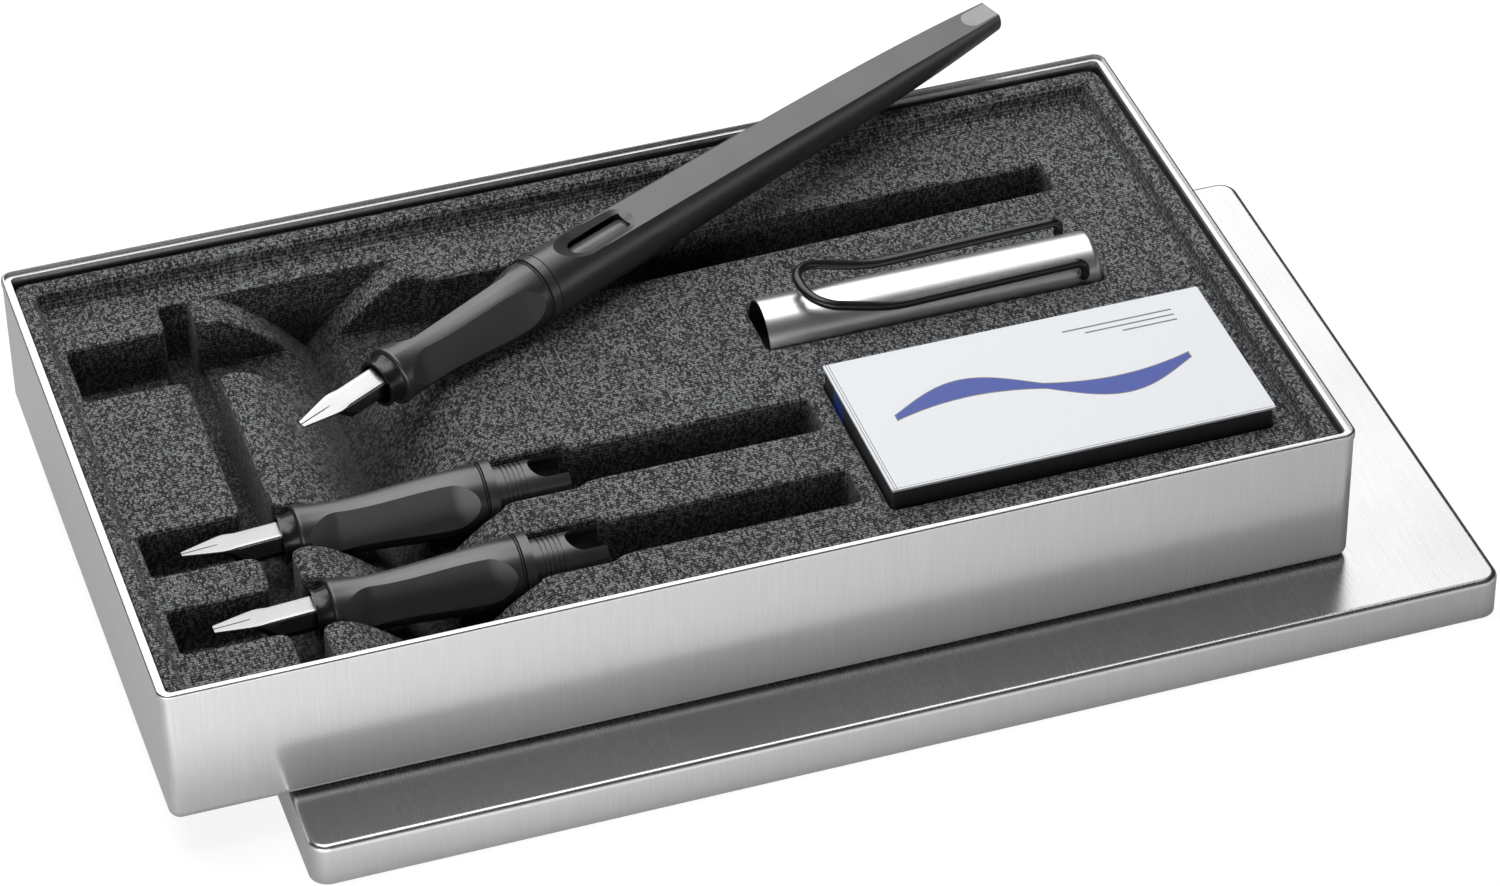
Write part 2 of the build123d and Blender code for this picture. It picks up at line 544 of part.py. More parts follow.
def make_nib(frame, tip_width, label):
    """Folded steel nib: sloping top with shoulders, slit, and two deep sides that hold the feed."""
    seat = tipped(frame, NIB_SLOPE)
    half_width = NIB_WIDTH / 2
    shoulder = NIB_SHOULDER - NIB_REACH
    side_bottom = NIB_LEVEL - NIB_SIDE_DROP
    with BuildPart() as nib:
        with BuildSketch(raised(seat, NIB_LEVEL)):
            with BuildLine():
                Polyline((NIB_TAIL, -half_width), (shoulder, -half_width), (-NIB_REACH, -tip_width / 2),
                         (-NIB_REACH, tip_width / 2), (shoulder, half_width), (NIB_TAIL, half_width),
                         close=True)
            make_face()
            with Locations((-NIB_REACH, 0)):
                Rectangle(2 * NIB_SLIT_LENGTH, NIB_SLIT_WIDTH, mode=Mode.SUBTRACT)
        extrude(amount=NIB_SHEET)
        with BuildSketch(side_plane(seat).offset(half_width - NIB_SHEET),
                         side_plane(seat).offset(-half_width)):
            with BuildLine():
                Polyline((shoulder, NIB_LEVEL), (NIB_TAIL, NIB_LEVEL), (NIB_TAIL, side_bottom),
                         (shoulder + NIB_SIDE_SLANT, side_bottom), close=True)
            make_face()
        extrude(amount=NIB_SHEET)
    nib.part.label = label
    return nib.part


def make_cartridge(frame):
    """Ink cartridge: narrow neck with a sunk mouth, then the round body."""
    neck_end = CARTRIDGE_AT + CARTRIDGE_NECK
    end = CARTRIDGE_AT + CARTRIDGE_LENGTH
    mouth_floor = CARTRIDGE_AT + CARTRIDGE_MOUTH_DEPTH
    mouth_radius = FEED_NIPPLE_RADIUS + NIPPLE_FIT
    return turned(frame, [(mouth_floor, 0), (mouth_floor, mouth_radius), (CARTRIDGE_AT, mouth_radius),
                          (CARTRIDGE_AT, CARTRIDGE_NECK_RADIUS), (neck_end, CARTRIDGE_NECK_RADIUS),
                          (neck_end + CARTRIDGE_SHOULDER, CARTRIDGE_RADIUS), (end, CARTRIDGE_RADIUS), (end, 0)])


def above_facet(frame, lowering):
    """Everything above the flat on the barrel's top when that flat is lowered by a depth."""
    curve = [(distance, level - lowering) for distance, level in FACET_PROFILE]
    with BuildPart() as space:
        with BuildSketch(side_plane(frame)):
            with BuildLine():
                FilletPolyline(*curve, radius=FACET_BEND)
                Polyline(curve[-1], (curve[-1][0], CUT_REACH), (curve[0][0], CUT_REACH), curve[0])
            make_face()
        extrude(amount=CUT_REACH, both=True)
    return space.part


def make_barrel(frame):
    """Tapered barrel with a flat on top and a window, and the light inlay at its end."""
    bore_thread = SPIGOT_RADIUS + BARREL_FIT
    thread_end = WINDOW_AT + WINDOW_LENGTH / 2
    with BuildPart() as inlay_zone:
        with BuildSketch(raised(frame, 0)):
            with Locations((BARREL_END, 0)):
                SlotOverall(2 * INLAY_LENGTH, INLAY_WIDTH)
        extrude(amount=CUT_REACH)
        add(above_facet(frame, INLAY_THICKNESS), mode=Mode.INTERSECT)
    with BuildPart() as barrel:
        with BuildSketch(side_plane(frame)):
            with BuildLine():
                Line((BARREL_START, 0), BARREL_PROFILE[0])
                Spline(*BARREL_PROFILE, (BARREL_END, BARREL_END_RADIUS))
                Polyline((BARREL_END, BARREL_END_RADIUS), (BARREL_END, 0), (BARREL_START, 0))
            make_face()
        revolve(axis=Axis(frame.origin, frame.x_dir))
        add(turned(frame, [(BARREL_START, 0), (BARREL_START, bore_thread), (thread_end, bore_thread),
                           (thread_end, BARREL_BORE), (BARREL_BORE_END, BARREL_BORE),
                           (BARREL_BORE_END, 0)]), mode=Mode.SUBTRACT)
        add(above_facet(frame, 0), mode=Mode.SUBTRACT)
        for level, height, slant in ((0, WINDOW_LEVEL, 0), (WINDOW_LEVEL, WINDOW_RISE, -WINDOW_SLANT)):
            with BuildSketch(raised(frame, level)):
                with Locations((WINDOW_AT, 0)):
                    SlotOverall(WINDOW_LENGTH, WINDOW_WIDTH)
            extrude(amount=height, taper=slant, mode=Mode.SUBTRACT)
    with BuildPart() as inlay:
        add(barrel.part)
        add(inlay_zone.part, mode=Mode.INTERSECT)
    with BuildPart() as bare_barrel:
        add(barrel.part)
        add(inlay_zone.part, mode=Mode.SUBTRACT)
    bare_barrel.part.label = "pen_barrel"
    inlay.part.label = "pen_end_inlay"
    return bare_barrel.part, inlay.part


def make_cap():
    """Aluminium cap with its liner, its crown plug and the sprung wire clip."""
    frame = level_frame(CAP_MOUTH_X, CAP_Y, TRAY_BASE + CAP_LEVEL)
    tube_bore = CAP_RADIUS - CAP_WALL
    liner_bore = tube_bore - LINER_WALL
    crown_start = CAP_LENGTH - CROWN_LENGTH
    crown_shoulder = CAP_LENGTH - CAP_WALL - CAP_END_RADIUS
    pivot_hole = CLIP_WIRE_RADIUS + CLIP_PIVOT_FIT
    pivot = Plane(origin=(CAP_MOUTH_X + CLIP_PIVOT_X, CAP_Y, frame.origin.Z + CLIP_PIVOT_RISE),
                  x_dir=(1, 0, 0), z_dir=(0, 1, 0))
    with BuildPart() as tube:
        with BuildSketch(side_plane(frame)):
            with BuildLine():
                Polyline((crown_shoulder, tube_bore), (0, tube_bore), (0, CAP_RADIUS),
                         (CAP_LENGTH - CAP_END_RADIUS, CAP_RADIUS))
                RadiusArc((CAP_LENGTH - CAP_END_RADIUS, CAP_RADIUS),
                          (CAP_LENGTH, CAP_RADIUS - CAP_END_RADIUS), CAP_END_RADIUS)
                Polyline((CAP_LENGTH, CAP_RADIUS - CAP_END_RADIUS), (CAP_LENGTH, CAP_END_OPENING),
                         (crown_shoulder, CAP_END_OPENING), (crown_shoulder, tube_bore))
            make_face()
        revolve(axis=Axis(frame.origin, frame.x_dir))
        with BuildSketch(pivot):
            Circle(pivot_hole)
        extrude(amount=CUT_REACH, both=True, mode=Mode.SUBTRACT)
    with BuildPart() as crown:
        add(turned(frame, [(crown_start, 0), (crown_start, tube_bore), (crown_shoulder, tube_bore),
                           (crown_shoulder, CAP_END_OPENING), (CAP_LENGTH, CAP_END_OPENING),
                           (CAP_LENGTH, 0)]))
        with BuildSketch(pivot):
            Circle(pivot_hole)
        extrude(amount=CUT_REACH, both=True, mode=Mode.SUBTRACT)
    liner = turned(frame, [(0, liner_bore), (0, tube_bore), (crown_start, tube_bore),
                           (crown_start, liner_bore)])
    stub_y = CAP_RADIUS - CLIP_STUB_DEPTH
    near_leg = [(CLIP_PIVOT_X, -stub_y, CLIP_PIVOT_RISE), (CLIP_PIVOT_X, -CLIP_FOOT_Y, CLIP_PIVOT_RISE),
                (CLIP_PIVOT_X, -CLIP_LEG_Y, CLIP_LEG_RISE), (CLIP_DIP_X, -CLIP_LEG_Y, CLIP_DIP_RISE),
                (CLIP_TIP_X, -CLIP_LEG_Y, CLIP_TIP_RISE)]
    far_leg = [(x, -y, z) for x, y, z in reversed(near_leg)]
    route_points = [frame.from_local_coords(Vector(*point)) for point in near_leg + far_leg]
    with BuildPart() as clip:
        with BuildLine() as route:
            FilletPolyline(*route_points, radius=CLIP_BENDS)
        with BuildSketch(Plane(origin=route.line @ 0, z_dir=route.line % 0)):
            Circle(CLIP_WIRE_RADIUS)
        sweep()
    tube.part.label = "cap_tube"
    liner.label = "cap_liner"
    crown.part.label = "cap_crown"
    clip.part.label = "cap_clip"
    return tube.part, liner, crown.part, clip.part


def make_carton():
    """Flat card carton in its recess: open box, hinged cover and the row of ink cartridges."""
    middle = (CARTON_LEFT + CARTON_LENGTH / 2, CARTON_BACK - CARTON_WIDTH / 2)
    top = TRAY_BASE + CARTON_TOP_LEVEL
    base = top - CARTON_HEIGHT + SEAT_GAP
    wall_top = top - COVER_BOARD - COVER_GAP
    with BuildPart() as box:
        with BuildSketch(Plane.XY.offset(base)):
            with Locations(middle):
                RectangleRounded(CARTON_LENGTH, CARTON_WIDTH, CARTON_CORNER)
        extrude(amount=wall_top - base)
        with BuildSketch(Plane.XY.offset(base + CARTON_BOARD)):
            with Locations(middle):
                Rectangle(CARTON_LENGTH - 2 * CARTON_BOARD, CARTON_WIDTH - 2 * CARTON_BOARD)
        extrude(amount=wall_top - base, mode=Mode.SUBTRACT)
    with BuildPart() as cover:
        with BuildSketch(Plane.XY.offset(top - COVER_BOARD)):
            with Locations((middle[0], middle[1] - COVER_OVERHANG / 2)):
                RectangleRounded(CARTON_LENGTH + 2 * COVER_OVERHANG, CARTON_WIDTH + COVER_OVERHANG,
                                 COVER_CORNER)
        extrude(amount=COVER_BOARD)
    axis_z = base + CARTON_BOARD + CARTRIDGE_PLAY + CARTRIDGE_RADIUS
    first_x = middle[0] - CARTRIDGE_LENGTH / 2 - CARTRIDGE_AT
    row_start = middle[1] - CARTRIDGE_PITCH * (CARTRIDGE_COUNT - 1) / 2
    row = [make_cartridge(level_frame(first_x, row_start + CARTRIDGE_PITCH * index, axis_z))
           for index in range(CARTRIDGE_COUNT)]
    cartridges = Compound(row)
    box.part.label = "carton_box"
    cover.part.label = "carton_cover"
    cartridges.label = "ink_cartridges"
    return box.part, cover.part, cartridges


def make_writing_head(frame, name, tip_width):
    """Everything that screws into a barrel as one: section, seal, collar, feed and nib."""
    return [make_section(frame, f"{name}_section"), make_seal(frame, f"{name}_seal"),
            make_collar(frame, f"{name}_collar"), make_feed(frame, f"{name}_feed"),
            make_nib(frame, tip_width, f"{name}_nib")]


def main():
    """Build every piece, centre the arrangement over the origin and write one STEP file for each."""
    pen_frame = leaning_frame()
    cartridge = make_cartridge(pen_frame)
    cartridge.label = "pen_cartridge"
    pieces = [make_lid(), make_tray(), make_insert(), cartridge]
    pieces += make_writing_head(rolled(pen_frame, HEAD_ROLL), "pen", PEN_TIP_WIDTH)
    pieces += make_barrel(rolled(pen_frame, BARREL_ROLL))
    for name, (from_left, from_front) in SPARE_PLACES.items():
        frame = level_frame(LEFT_END + from_left, FRONT_SIDE + from_front, TRAY_BASE + SPARE_AXIS_LEVEL)
        pieces += make_writing_head(frame, name, SPARE_TIP_WIDTHS[name])
    pieces += make_cap()
    pieces += make_carton()
    boxes = [piece.bounding_box() for piece in pieces]
    middle_x = (min(box.min.X for box in boxes) + max(box.max.X for box in boxes)) / 2
    middle_y = (min(box.min.Y for box in boxes) + max(box.max.Y for box in boxes)) / 2
    shift = Location((-middle_x, -middle_y, 0))
    os.makedirs("parts", exist_ok=True)
    for piece in pieces:
        placed = piece.moved(shift)
        placed.label = piece.label
        export_step(placed, f"parts/{placed.label}.step")
    print("tray middle", -middle_x, -middle_y)
    print("pen grip front", shift * pen_frame.location)


if __name__ == "__main__":
    main()
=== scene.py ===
"""Looks of the calligraphy set: brushed tin, cloth-lined insert, pen parts, cap and carton.

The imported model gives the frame. Sizes in the classes are millimetres in the tray's own frame, which starts
under the middle of the tray, at its underside, and `Place` turns them into metres in the shared frame.
"""

import logging
from dataclasses import dataclass
from enum import Enum
from math import cos, pi, radians, sin

import bmesh
import bpy
import numpy as np
from mathutils import Matrix, Vector


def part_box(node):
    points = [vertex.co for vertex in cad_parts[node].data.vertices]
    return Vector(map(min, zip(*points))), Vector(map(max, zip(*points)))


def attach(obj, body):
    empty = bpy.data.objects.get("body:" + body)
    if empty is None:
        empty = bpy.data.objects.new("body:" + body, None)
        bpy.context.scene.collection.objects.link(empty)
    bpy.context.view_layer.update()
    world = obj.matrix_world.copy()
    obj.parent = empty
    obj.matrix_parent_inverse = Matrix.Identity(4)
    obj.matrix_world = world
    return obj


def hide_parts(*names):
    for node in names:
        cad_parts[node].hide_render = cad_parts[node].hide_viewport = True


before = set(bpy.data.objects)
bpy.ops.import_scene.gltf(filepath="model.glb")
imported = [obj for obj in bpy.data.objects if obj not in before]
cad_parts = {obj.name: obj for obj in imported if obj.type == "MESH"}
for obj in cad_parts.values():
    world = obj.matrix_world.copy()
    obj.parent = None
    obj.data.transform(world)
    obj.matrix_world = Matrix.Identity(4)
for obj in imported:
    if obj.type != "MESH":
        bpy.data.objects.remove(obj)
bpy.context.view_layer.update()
LOG = logging.getLogger("calligraphy_set")
MM = 0.001
SHARP_ANGLE = 50.0
NOISE_MIDDLE = (0.3, 0.7)
FIBRE_SCALE = 1400.0
FAR = 999.0
Socket = bpy.types.NodeSocket
Material = bpy.types.Material
Pair = tuple[float, float]
Triple = tuple[float, float, float]
Quad = tuple[float, float, float, float]
Colour = Quad
Array = np.ndarray


class Part(Enum):
    """Bodies of the set that new pieces ride on."""

    INSERT = "insert"
    PEN = "pen"
    SPARE_1 = "spare_1"
    SPARE_2 = "spare_2"


# --- Shader graphs ----------------------------


class Nodes:
    """Short way to add and join nodes in one shader tree."""

    def __init__(self, tree: bpy.types.NodeTree, output: str) -> None:
        """Start an empty tree.

        Args:
            tree: The tree of a material or of the world.
            output: Blender's name of its output node.
        """
        self.tree = tree
        self.tree.nodes.clear()
        self.output = self.add(output)
        where = self.add("ShaderNodeTexCoord")
        self.place = where.outputs["Object"]
        self.facing = where.outputs["Normal"]
        self.heading = where.outputs["Generated"]

    def add(self, kind: str, inputs: dict | None = None, **settings: object) -> bpy.types.Node:
        """Add a node.

        Args:
            kind: Blender's name of the node type.
            inputs: Value or socket for each named or numbered input.
            **settings: Properties of the node.

        Returns:
            The new node.
        """
        node = self.tree.nodes.new(kind)
        for name, value in settings.items():
            setattr(node, name, value)
        for name, value in (inputs or {}).items():
            socket = node.inputs[name]
            if isinstance(value, Socket):
                self.tree.links.new(value, socket)
            else:
                socket.default_value = value
        return node

    def math(self, operation: str, *values: object, clamp: bool = False) -> Socket:
        """Join numbers with Math nodes, from left to right.

        Args:
            operation: Name of the operation.
            *values: Numbers or sockets, or one for an operation that takes one.
            clamp: Whether the result is kept between 0 and 1.

        Returns:
            The result's socket.
        """
        result = values[0]
        for other in values[1:] or (0.0,):
            inputs = {0: result, 1: other}
            result = self.add("ShaderNodeMath", inputs, operation=operation, use_clamp=clamp).outputs[0]
        return result

    def product(self, *factors: object) -> Socket:
        """Multiply two or more numbers or sockets."""
        return self.math("MULTIPLY", *factors)

    def axes(self, vector: object = None) -> tuple[Socket, Socket, Socket]:
        """Split a vector, or the object's coordinates, into X, Y and Z."""
        return tuple(self.add("ShaderNodeSeparateXYZ", {0: vector or self.place}).outputs)

    def vector(self, x: object, y: object, z: object = 0.0) -> Socket:
        """Join three numbers or sockets into a vector."""
        return self.add("ShaderNodeCombineXYZ", {0: x, 1: y, 2: z}).outputs[0]

    def noise(self, scale: float, detail: float = 2.0, rough: float = 0.5, vector: object = None) -> Socket:
        """Noise between 0 and 1 with some lumps in each metre, some octaves and the share that each keeps."""
        inputs = {"Vector": vector or self.place, "Scale": scale, "Detail": detail, "Roughness": rough}
        return self.add("ShaderNodeTexNoise", inputs).outputs[0]

    def spread(self, value: object, low: float, high: float, to_low: float, to_high: float) -> Socket:
        """Map a range of a value onto another range, without going past its ends."""
        inputs = {"Value": value, "From Min": low, "From Max": high, "To Min": to_low, "To Max": to_high}
        return self.add("ShaderNodeMapRange", inputs).outputs[0]

    def vary(self, noise: Socket, low: float, high: float) -> Socket:
        """Spread the middle of a noise, where most of it lies, onto a range."""
        return self.spread(noise, *NOISE_MIDDLE, low, high)

    def about(self, noise: Socket, middle: float, swing: float) -> Socket:
        """Vary a number by a swing to each side of its middle."""
        return self.vary(noise, middle - swing, middle + swing)

    def mix(self, share: object, low: object, high: object) -> Socket:
        """Mix two colours: a share of 0 gives the first, 1 the second."""
        return self.add("ShaderNodeMix", {0: share, 6: low, 7: high}, data_type="RGBA").outputs[2]

    def tone(self, noise: Socket, shade: float, darker: float, lighter: float, warmth: float = 0.0) -> Socket:
        """Grey that follows a noise between two shares of a shade."""
        return self.mix(self.vary(noise, 0, 1), grey(shade * darker, warmth), grey(shade * lighter, warmth))

    def blend(self, share: object, low: object, high: object) -> Socket:
        """Mix two numbers: a share of 0 gives the first, 1 the second."""
        return self.add("ShaderNodeMix", {0: share, 2: low, 3: high}, data_type="FLOAT").outputs[0]

    def faces(self) -> tuple[Socket, Socket, Socket]:
        """How far the surface faces along X, Y and Z, as lengths without a sign."""
        return tuple(self.math("ABSOLUTE", part) for part in self.axes(self.facing))

    def bump(self, height: Socket, depth: float, strength: float) -> Socket:
        """Surface normal over a relief that is some millimetres deep."""
        inputs = {"Height": height, "Distance": depth * MM, "Strength": strength}
        return self.add("ShaderNodeBump", inputs).outputs[0]

    def finish(self, shader: Socket) -> None:
        """Join a shader to the output."""
        self.tree.links.new(shader, self.output.inputs[0])


class Graph(Nodes):
    """The nodes of one new material."""

    def __init__(self, name: str) -> None:
        """Start an empty material.

        Args:
            name: Name of the material.
        """
        self.material = bpy.data.materials.new(name)
        self.material.use_nodes = True
        super().__init__(self.material.node_tree, "ShaderNodeOutputMaterial")

    def shader(self, **inputs: object) -> Socket:
        """Principled shader with the given inputs, which have underscores for spaces."""
        named = {name.replace("_", " "): value for name, value in inputs.items()}
        return self.add("ShaderNodeBsdfPrincipled", named).outputs[0]

    def surface(self, **inputs: object) -> Material:
        """Finish the material with one Principled shader with the given inputs."""
        self.finish(self.shader(**inputs))
        return self.material


def grey(level: float, warmth: float = 0.0) -> Colour:
    """A grey as a linear colour, a little warmer or cooler than neutral."""
    return (level * (1 + warmth), level, level * (1 - warmth), 1.0)


# --- Finishes ---------------------------------


@dataclass(frozen=True)
class BrushedSteel:
    """Tin plate with a fine grain that runs up the walls and across the flat faces."""

    name: str = "brushed_steel"
    shade: float = 0.74
    wall_roughness: float = 0.19
    flat_roughness: float = 0.26
    haze_roughness: float = 0.62
    haze_share: float = 0.56
    # Share of the steel's colour kept on flat faces, darker as painted shade.
    flat_painted_shade: float = 0.56
    contrast: float = 0.06
    grain_pitch: float = 0.085
    grain_length: float = 8.0
    grain_depth: float = 0.0012
    grain_strength: float = 0.4
    grain_gloss: float = 0.03
    cloud_scale: float = 28.0
    cloud_gloss: float = 0.02
    lying_from: Pair = (0.5, 0.8)

    def material(self) -> Material:
        """Build the material.

        The grain is noise that is squeezed across its run. On the walls a wide haze lies over the sharper
        shine, because the grain there scatters a share of the light far to the sides.
        """
        graph = Graph(self.name)
        x, y, z = graph.axes()
        across = 1 / (self.grain_pitch * MM)
        along = 1 / (self.grain_length * MM)
        walls = graph.vector(graph.product(graph.math("ADD", x, y), across), graph.product(z, along), 0.5)
        flats = graph.vector(graph.product(x, across), graph.product(y, along), 0.5)
        lying = graph.spread(graph.faces()[2], *self.lying_from, 0, 1)
        grain = graph.blend(lying, graph.noise(1.0, vector=walls), graph.noise(1.0, vector=flats))
        walls_colour = graph.tone(grain, self.shade, 1 - self.contrast, 1 + self.contrast)
        # Flat faces get a darker copy of the steel's colour: painted shade that dims what their tops reflect.
        colour = graph.mix(lying, walls_colour, grey(self.shade * self.flat_painted_shade))
        rough = graph.math("ADD", graph.blend(lying, self.wall_roughness, self.flat_roughness),
                           graph.about(grain, 0.0, self.grain_gloss),
                           graph.about(graph.noise(self.cloud_scale), 0.0, self.cloud_gloss))
        relief = graph.bump(grain, self.grain_depth, self.grain_strength)
        shine = graph.shader(Base_Color=colour, Metallic=1.0, Roughness=rough, Normal=relief)
        haze = graph.shader(Base_Color=colour, Metallic=1.0, Roughness=self.haze_roughness, Normal=relief)
        hazy = graph.blend(lying, self.haze_share, 0.0)
        both = graph.add("ShaderNodeMixShader", {0: hazy, 1: shine, 2: haze})
        graph.finish(both.outputs[0])
        return graph.material


@dataclass(frozen=True)
class KnitCloth:
    """Charcoal knitted lining: rows of small uneven stitches with a little fluff."""

    name: str = "knit_cloth"
    dark: float = 0.012
    light: float = 0.25
    row_pitch: float = 0.66
    stitch_pitch: float = 0.42
    stitch_size: float = 0.42
    unevenness: float = 0.6
    shove: float = 0.25
    shove_scale: float = 700.0
    tone_share: float = 0.85
    body_share: float = 1.1
    row_share: float = 0.13
    fluff_share: float = 0.7
    fluff_scale: float = 5200.0
    fluff_rough: float = 0.7
    middle: float = 0.42
    hardness: float = 1.6
    patch_scale: float = 60.0
    patch_share: float = 0.1
    relief: float = 0.12
    relief_strength: float = 0.6
    level_above: float = 0.55
    # Painted shade: the cloth is darkened in the pockets, more the further down it lies, and on steeply
    # sloped faces.
    pocket_shade_depths: Pair = (12.0, 4.0)
    pocket_shade_share: float = 0.30
    steep_face_shade: Pair = (0.25, 0.85)
    steep_face_shade_share: float = 0.62
    sheen: float = 0.08

    def material(self, field: float) -> Material:
        """Build the material.

        Each stitch is one cell of a Voronoi pattern, laid in rows and upset by noise. The colour is darkened
        as painted shade on steeply sloped faces and in the pockets, the more so the deeper the pockets lie.

        Args:
            field: Height of the sunk field in metres.

        Returns:
            The finished material.
        """
        graph = Graph(self.name)
        x, y, z = graph.axes()
        face_x, face_y, face_z = graph.faces()
        level = graph.math("GREATER_THAN", face_z, self.level_above)
        sideways = graph.math("GREATER_THAN", face_x, face_y)
        shove = graph.product(graph.math("SUBTRACT", graph.noise(self.shove_scale), 0.5), self.shove * MM)
        along = graph.math("ADD", graph.blend(level, graph.blend(sideways, x, y), x), shove)
        across = graph.math("ADD", graph.blend(level, z, y), shove)
        stitch = graph.vector(graph.math("DIVIDE", along, self.stitch_pitch * MM),
                              graph.math("DIVIDE", across, self.row_pitch * MM))
        inputs = {"Vector": stitch, "Scale": 1.0, "Randomness": self.unevenness}
        cells = graph.add("ShaderNodeTexVoronoi", inputs, voronoi_dimensions="2D")
        tone = graph.math("SUBTRACT", graph.axes(cells.outputs["Color"])[0], 0.5)
        body = graph.math("SUBTRACT", self.stitch_size, cells.outputs["Distance"])
        wave = graph.math("COSINE", graph.product(across, 2 * pi / (self.row_pitch * MM)))
        fluff = graph.math("SUBTRACT", graph.noise(self.fluff_scale, rough=self.fluff_rough), 0.5)
        parts = ((tone, self.tone_share), (body, self.body_share), (wave, -self.row_share),
                 (fluff, self.fluff_share))
        summed = graph.math("ADD", *(graph.product(part, share) for part, share in parts))
        yarn = graph.math("ADD", summed, self.middle, clamp=True)
        patches = graph.about(graph.noise(self.patch_scale, 3.0), 1.0, self.patch_share)
        # Painted shade in the pockets: darker the further below the field the cloth lies.
        low, high = (field - depth * MM for depth in self.pocket_shade_depths)
        sunk = graph.spread(z, low, high, self.pocket_shade_share, 1.0)
        # Painted shade: faces that slope steeply, away from the lamps, are darker.
        steep_face_shade = graph.spread(face_z, *self.steep_face_shade, self.steep_face_shade_share, 1.0)
        # Yarn tone and random patches, times both painted shades.
        shade = graph.product(graph.math("POWER", yarn, self.hardness), patches, sunk, steep_face_shade)
        colour = graph.mix(shade, grey(self.dark, warmth=-0.04), grey(self.light, warmth=-0.03))
        relief = graph.bump(yarn, self.relief, self.relief_strength)
        return graph.surface(Base_Color=colour, Roughness=0.95, Specular_IOR_Level=0.1, Normal=relief,
                             Sheen_Weight=self.sheen, Sheen_Roughness=0.5)


@dataclass(frozen=True)
class Moulded:
    """Moulded plastic or rubber with a fine matt skin."""

    name: str
    shade: float
    roughness: float
    skin_pitch: float = 0.12
    skin_depth: float = 0.002
    skin_gloss: float = 0.02
    skin_strength: float = 0.5
    handled_scale: float = 90.0
    handled_tone: Pair = (0.9, 1.1)
    handled_gloss: Pair = (-0.03, 0.04)
    gloss: float = 0.5

    def material(self) -> Material:
        """Build the material. The skin is fine noise, and slow noise varies its gloss."""
        graph = Graph(self.name)
        skin = graph.noise(1 / (self.skin_pitch * MM))
        handled = graph.noise(self.handled_scale, 3.0)
        colour = graph.tone(handled, self.shade, *self.handled_tone)
        rough = graph.math("ADD", self.roughness, graph.vary(handled, *self.handled_gloss),
                           graph.about(skin, 0.0, self.skin_gloss))
        relief = graph.bump(skin, self.skin_depth, self.skin_strength)
        return graph.surface(Base_Color=colour, Roughness=rough, Specular_IOR_Level=self.gloss, Normal=relief)


@dataclass(frozen=True)
class InkPlastic:
    """Thin clear plastic, coloured by the blue ink behind it."""

    name: str = "ink_plastic"
    colour: Colour = (0.03, 0.07, 0.36, 1.0)
    paler: Colour = (0.06, 0.14, 0.55, 1.0)
    wash_scale: float = 160.0
    wash_from: Pair = (0.35, 0.65)
    wash_share: float = 0.5

    def material(self) -> Material:
        """Build the material. Slow noise gives the ink its lighter and darker places."""
        graph = Graph(self.name)
        wash = graph.spread(graph.noise(self.wash_scale, 3.0), *self.wash_from, 0, self.wash_share)
        colour = graph.mix(wash, self.colour, self.paler)
        return graph.surface(Base_Color=colour, Roughness=0.18, Coat_Weight=0.4, Coat_Roughness=0.05)


@dataclass(frozen=True)
class SatinMetal:
    """Turned or rolled metal with a fine satin finish."""

    name: str
    shade: float
    roughness: float
    grain_pitch: float = 0.09
    grain_depth: float = 0.002
    grain_gloss: float = 0.05
    grain_strength: float = 0.5
    cloud_scale: float = 120.0
    cloud_tone: Pair = (0.96, 1.03)
    warmth: float = 0.0

    def material(self) -> Material:
        """Build the material. Fine noise breaks up the gloss, as bead blasting does."""
        graph = Graph(self.name)
        grain = graph.noise(1 / (self.grain_pitch * MM), 3.0, 0.6)
        colour = graph.tone(graph.noise(self.cloud_scale), self.shade, *self.cloud_tone, self.warmth)
        rough = graph.about(grain, self.roughness, self.grain_gloss)
        relief = graph.bump(grain, self.grain_depth, self.grain_strength)
        return graph.surface(Base_Color=colour, Metallic=1.0, Roughness=rough, Normal=relief)


@dataclass(frozen=True)
class DarkCard:
    """Dark printed card, with a small blue mark on its left end."""

    name: str = "carton_dark"
    shade: float = 0.035
    roughness: float = 0.38
    rise: Pair = (0.55, 1.25)
    blueness: float = 1.06
    fibre_tone: float = 0.07
    fibre_depth: float = 0.01
    fibre_strength: float = 0.25
    mark: Pair = (5.5, 11.0)
    mark_skin: float = 0.2
    mark_colour: Colour = (0.02, 0.06, 0.30, 1.0)

    def material(self, low: Vector, high: Vector) -> Material:
        """Build the material. It darkens towards the bottom, and soft noise gives the card its fibres.

        Args:
            low: Lowest corner of the carton.
            high: Its highest corner.

        Returns:
            The finished material.
        """
        graph = Graph(self.name)
        x, y, z = graph.axes()
        fibres = graph.noise(FIBRE_SCALE, 3.0)
        rise = graph.spread(z, low.z, high.z, *self.rise)
        tone = graph.product(rise, self.shade, graph.about(fibres, 1.0, self.fibre_tone))
        card = graph.vector(tone, tone, graph.product(tone, self.blueness))
        left = graph.math("LESS_THAN", x, low.x + self.mark_skin * MM)
        near = graph.math("GREATER_THAN", y, high.y - self.mark[1] * MM)
        far = graph.math("LESS_THAN", y, high.y - self.mark[0] * MM)
        colour = graph.mix(graph.product(left, near, far), card, self.mark_colour)
        relief = graph.bump(fibres, self.fibre_depth, self.fibre_strength)
        return graph.surface(Base_Color=colour, Roughness=self.roughness, Normal=relief)


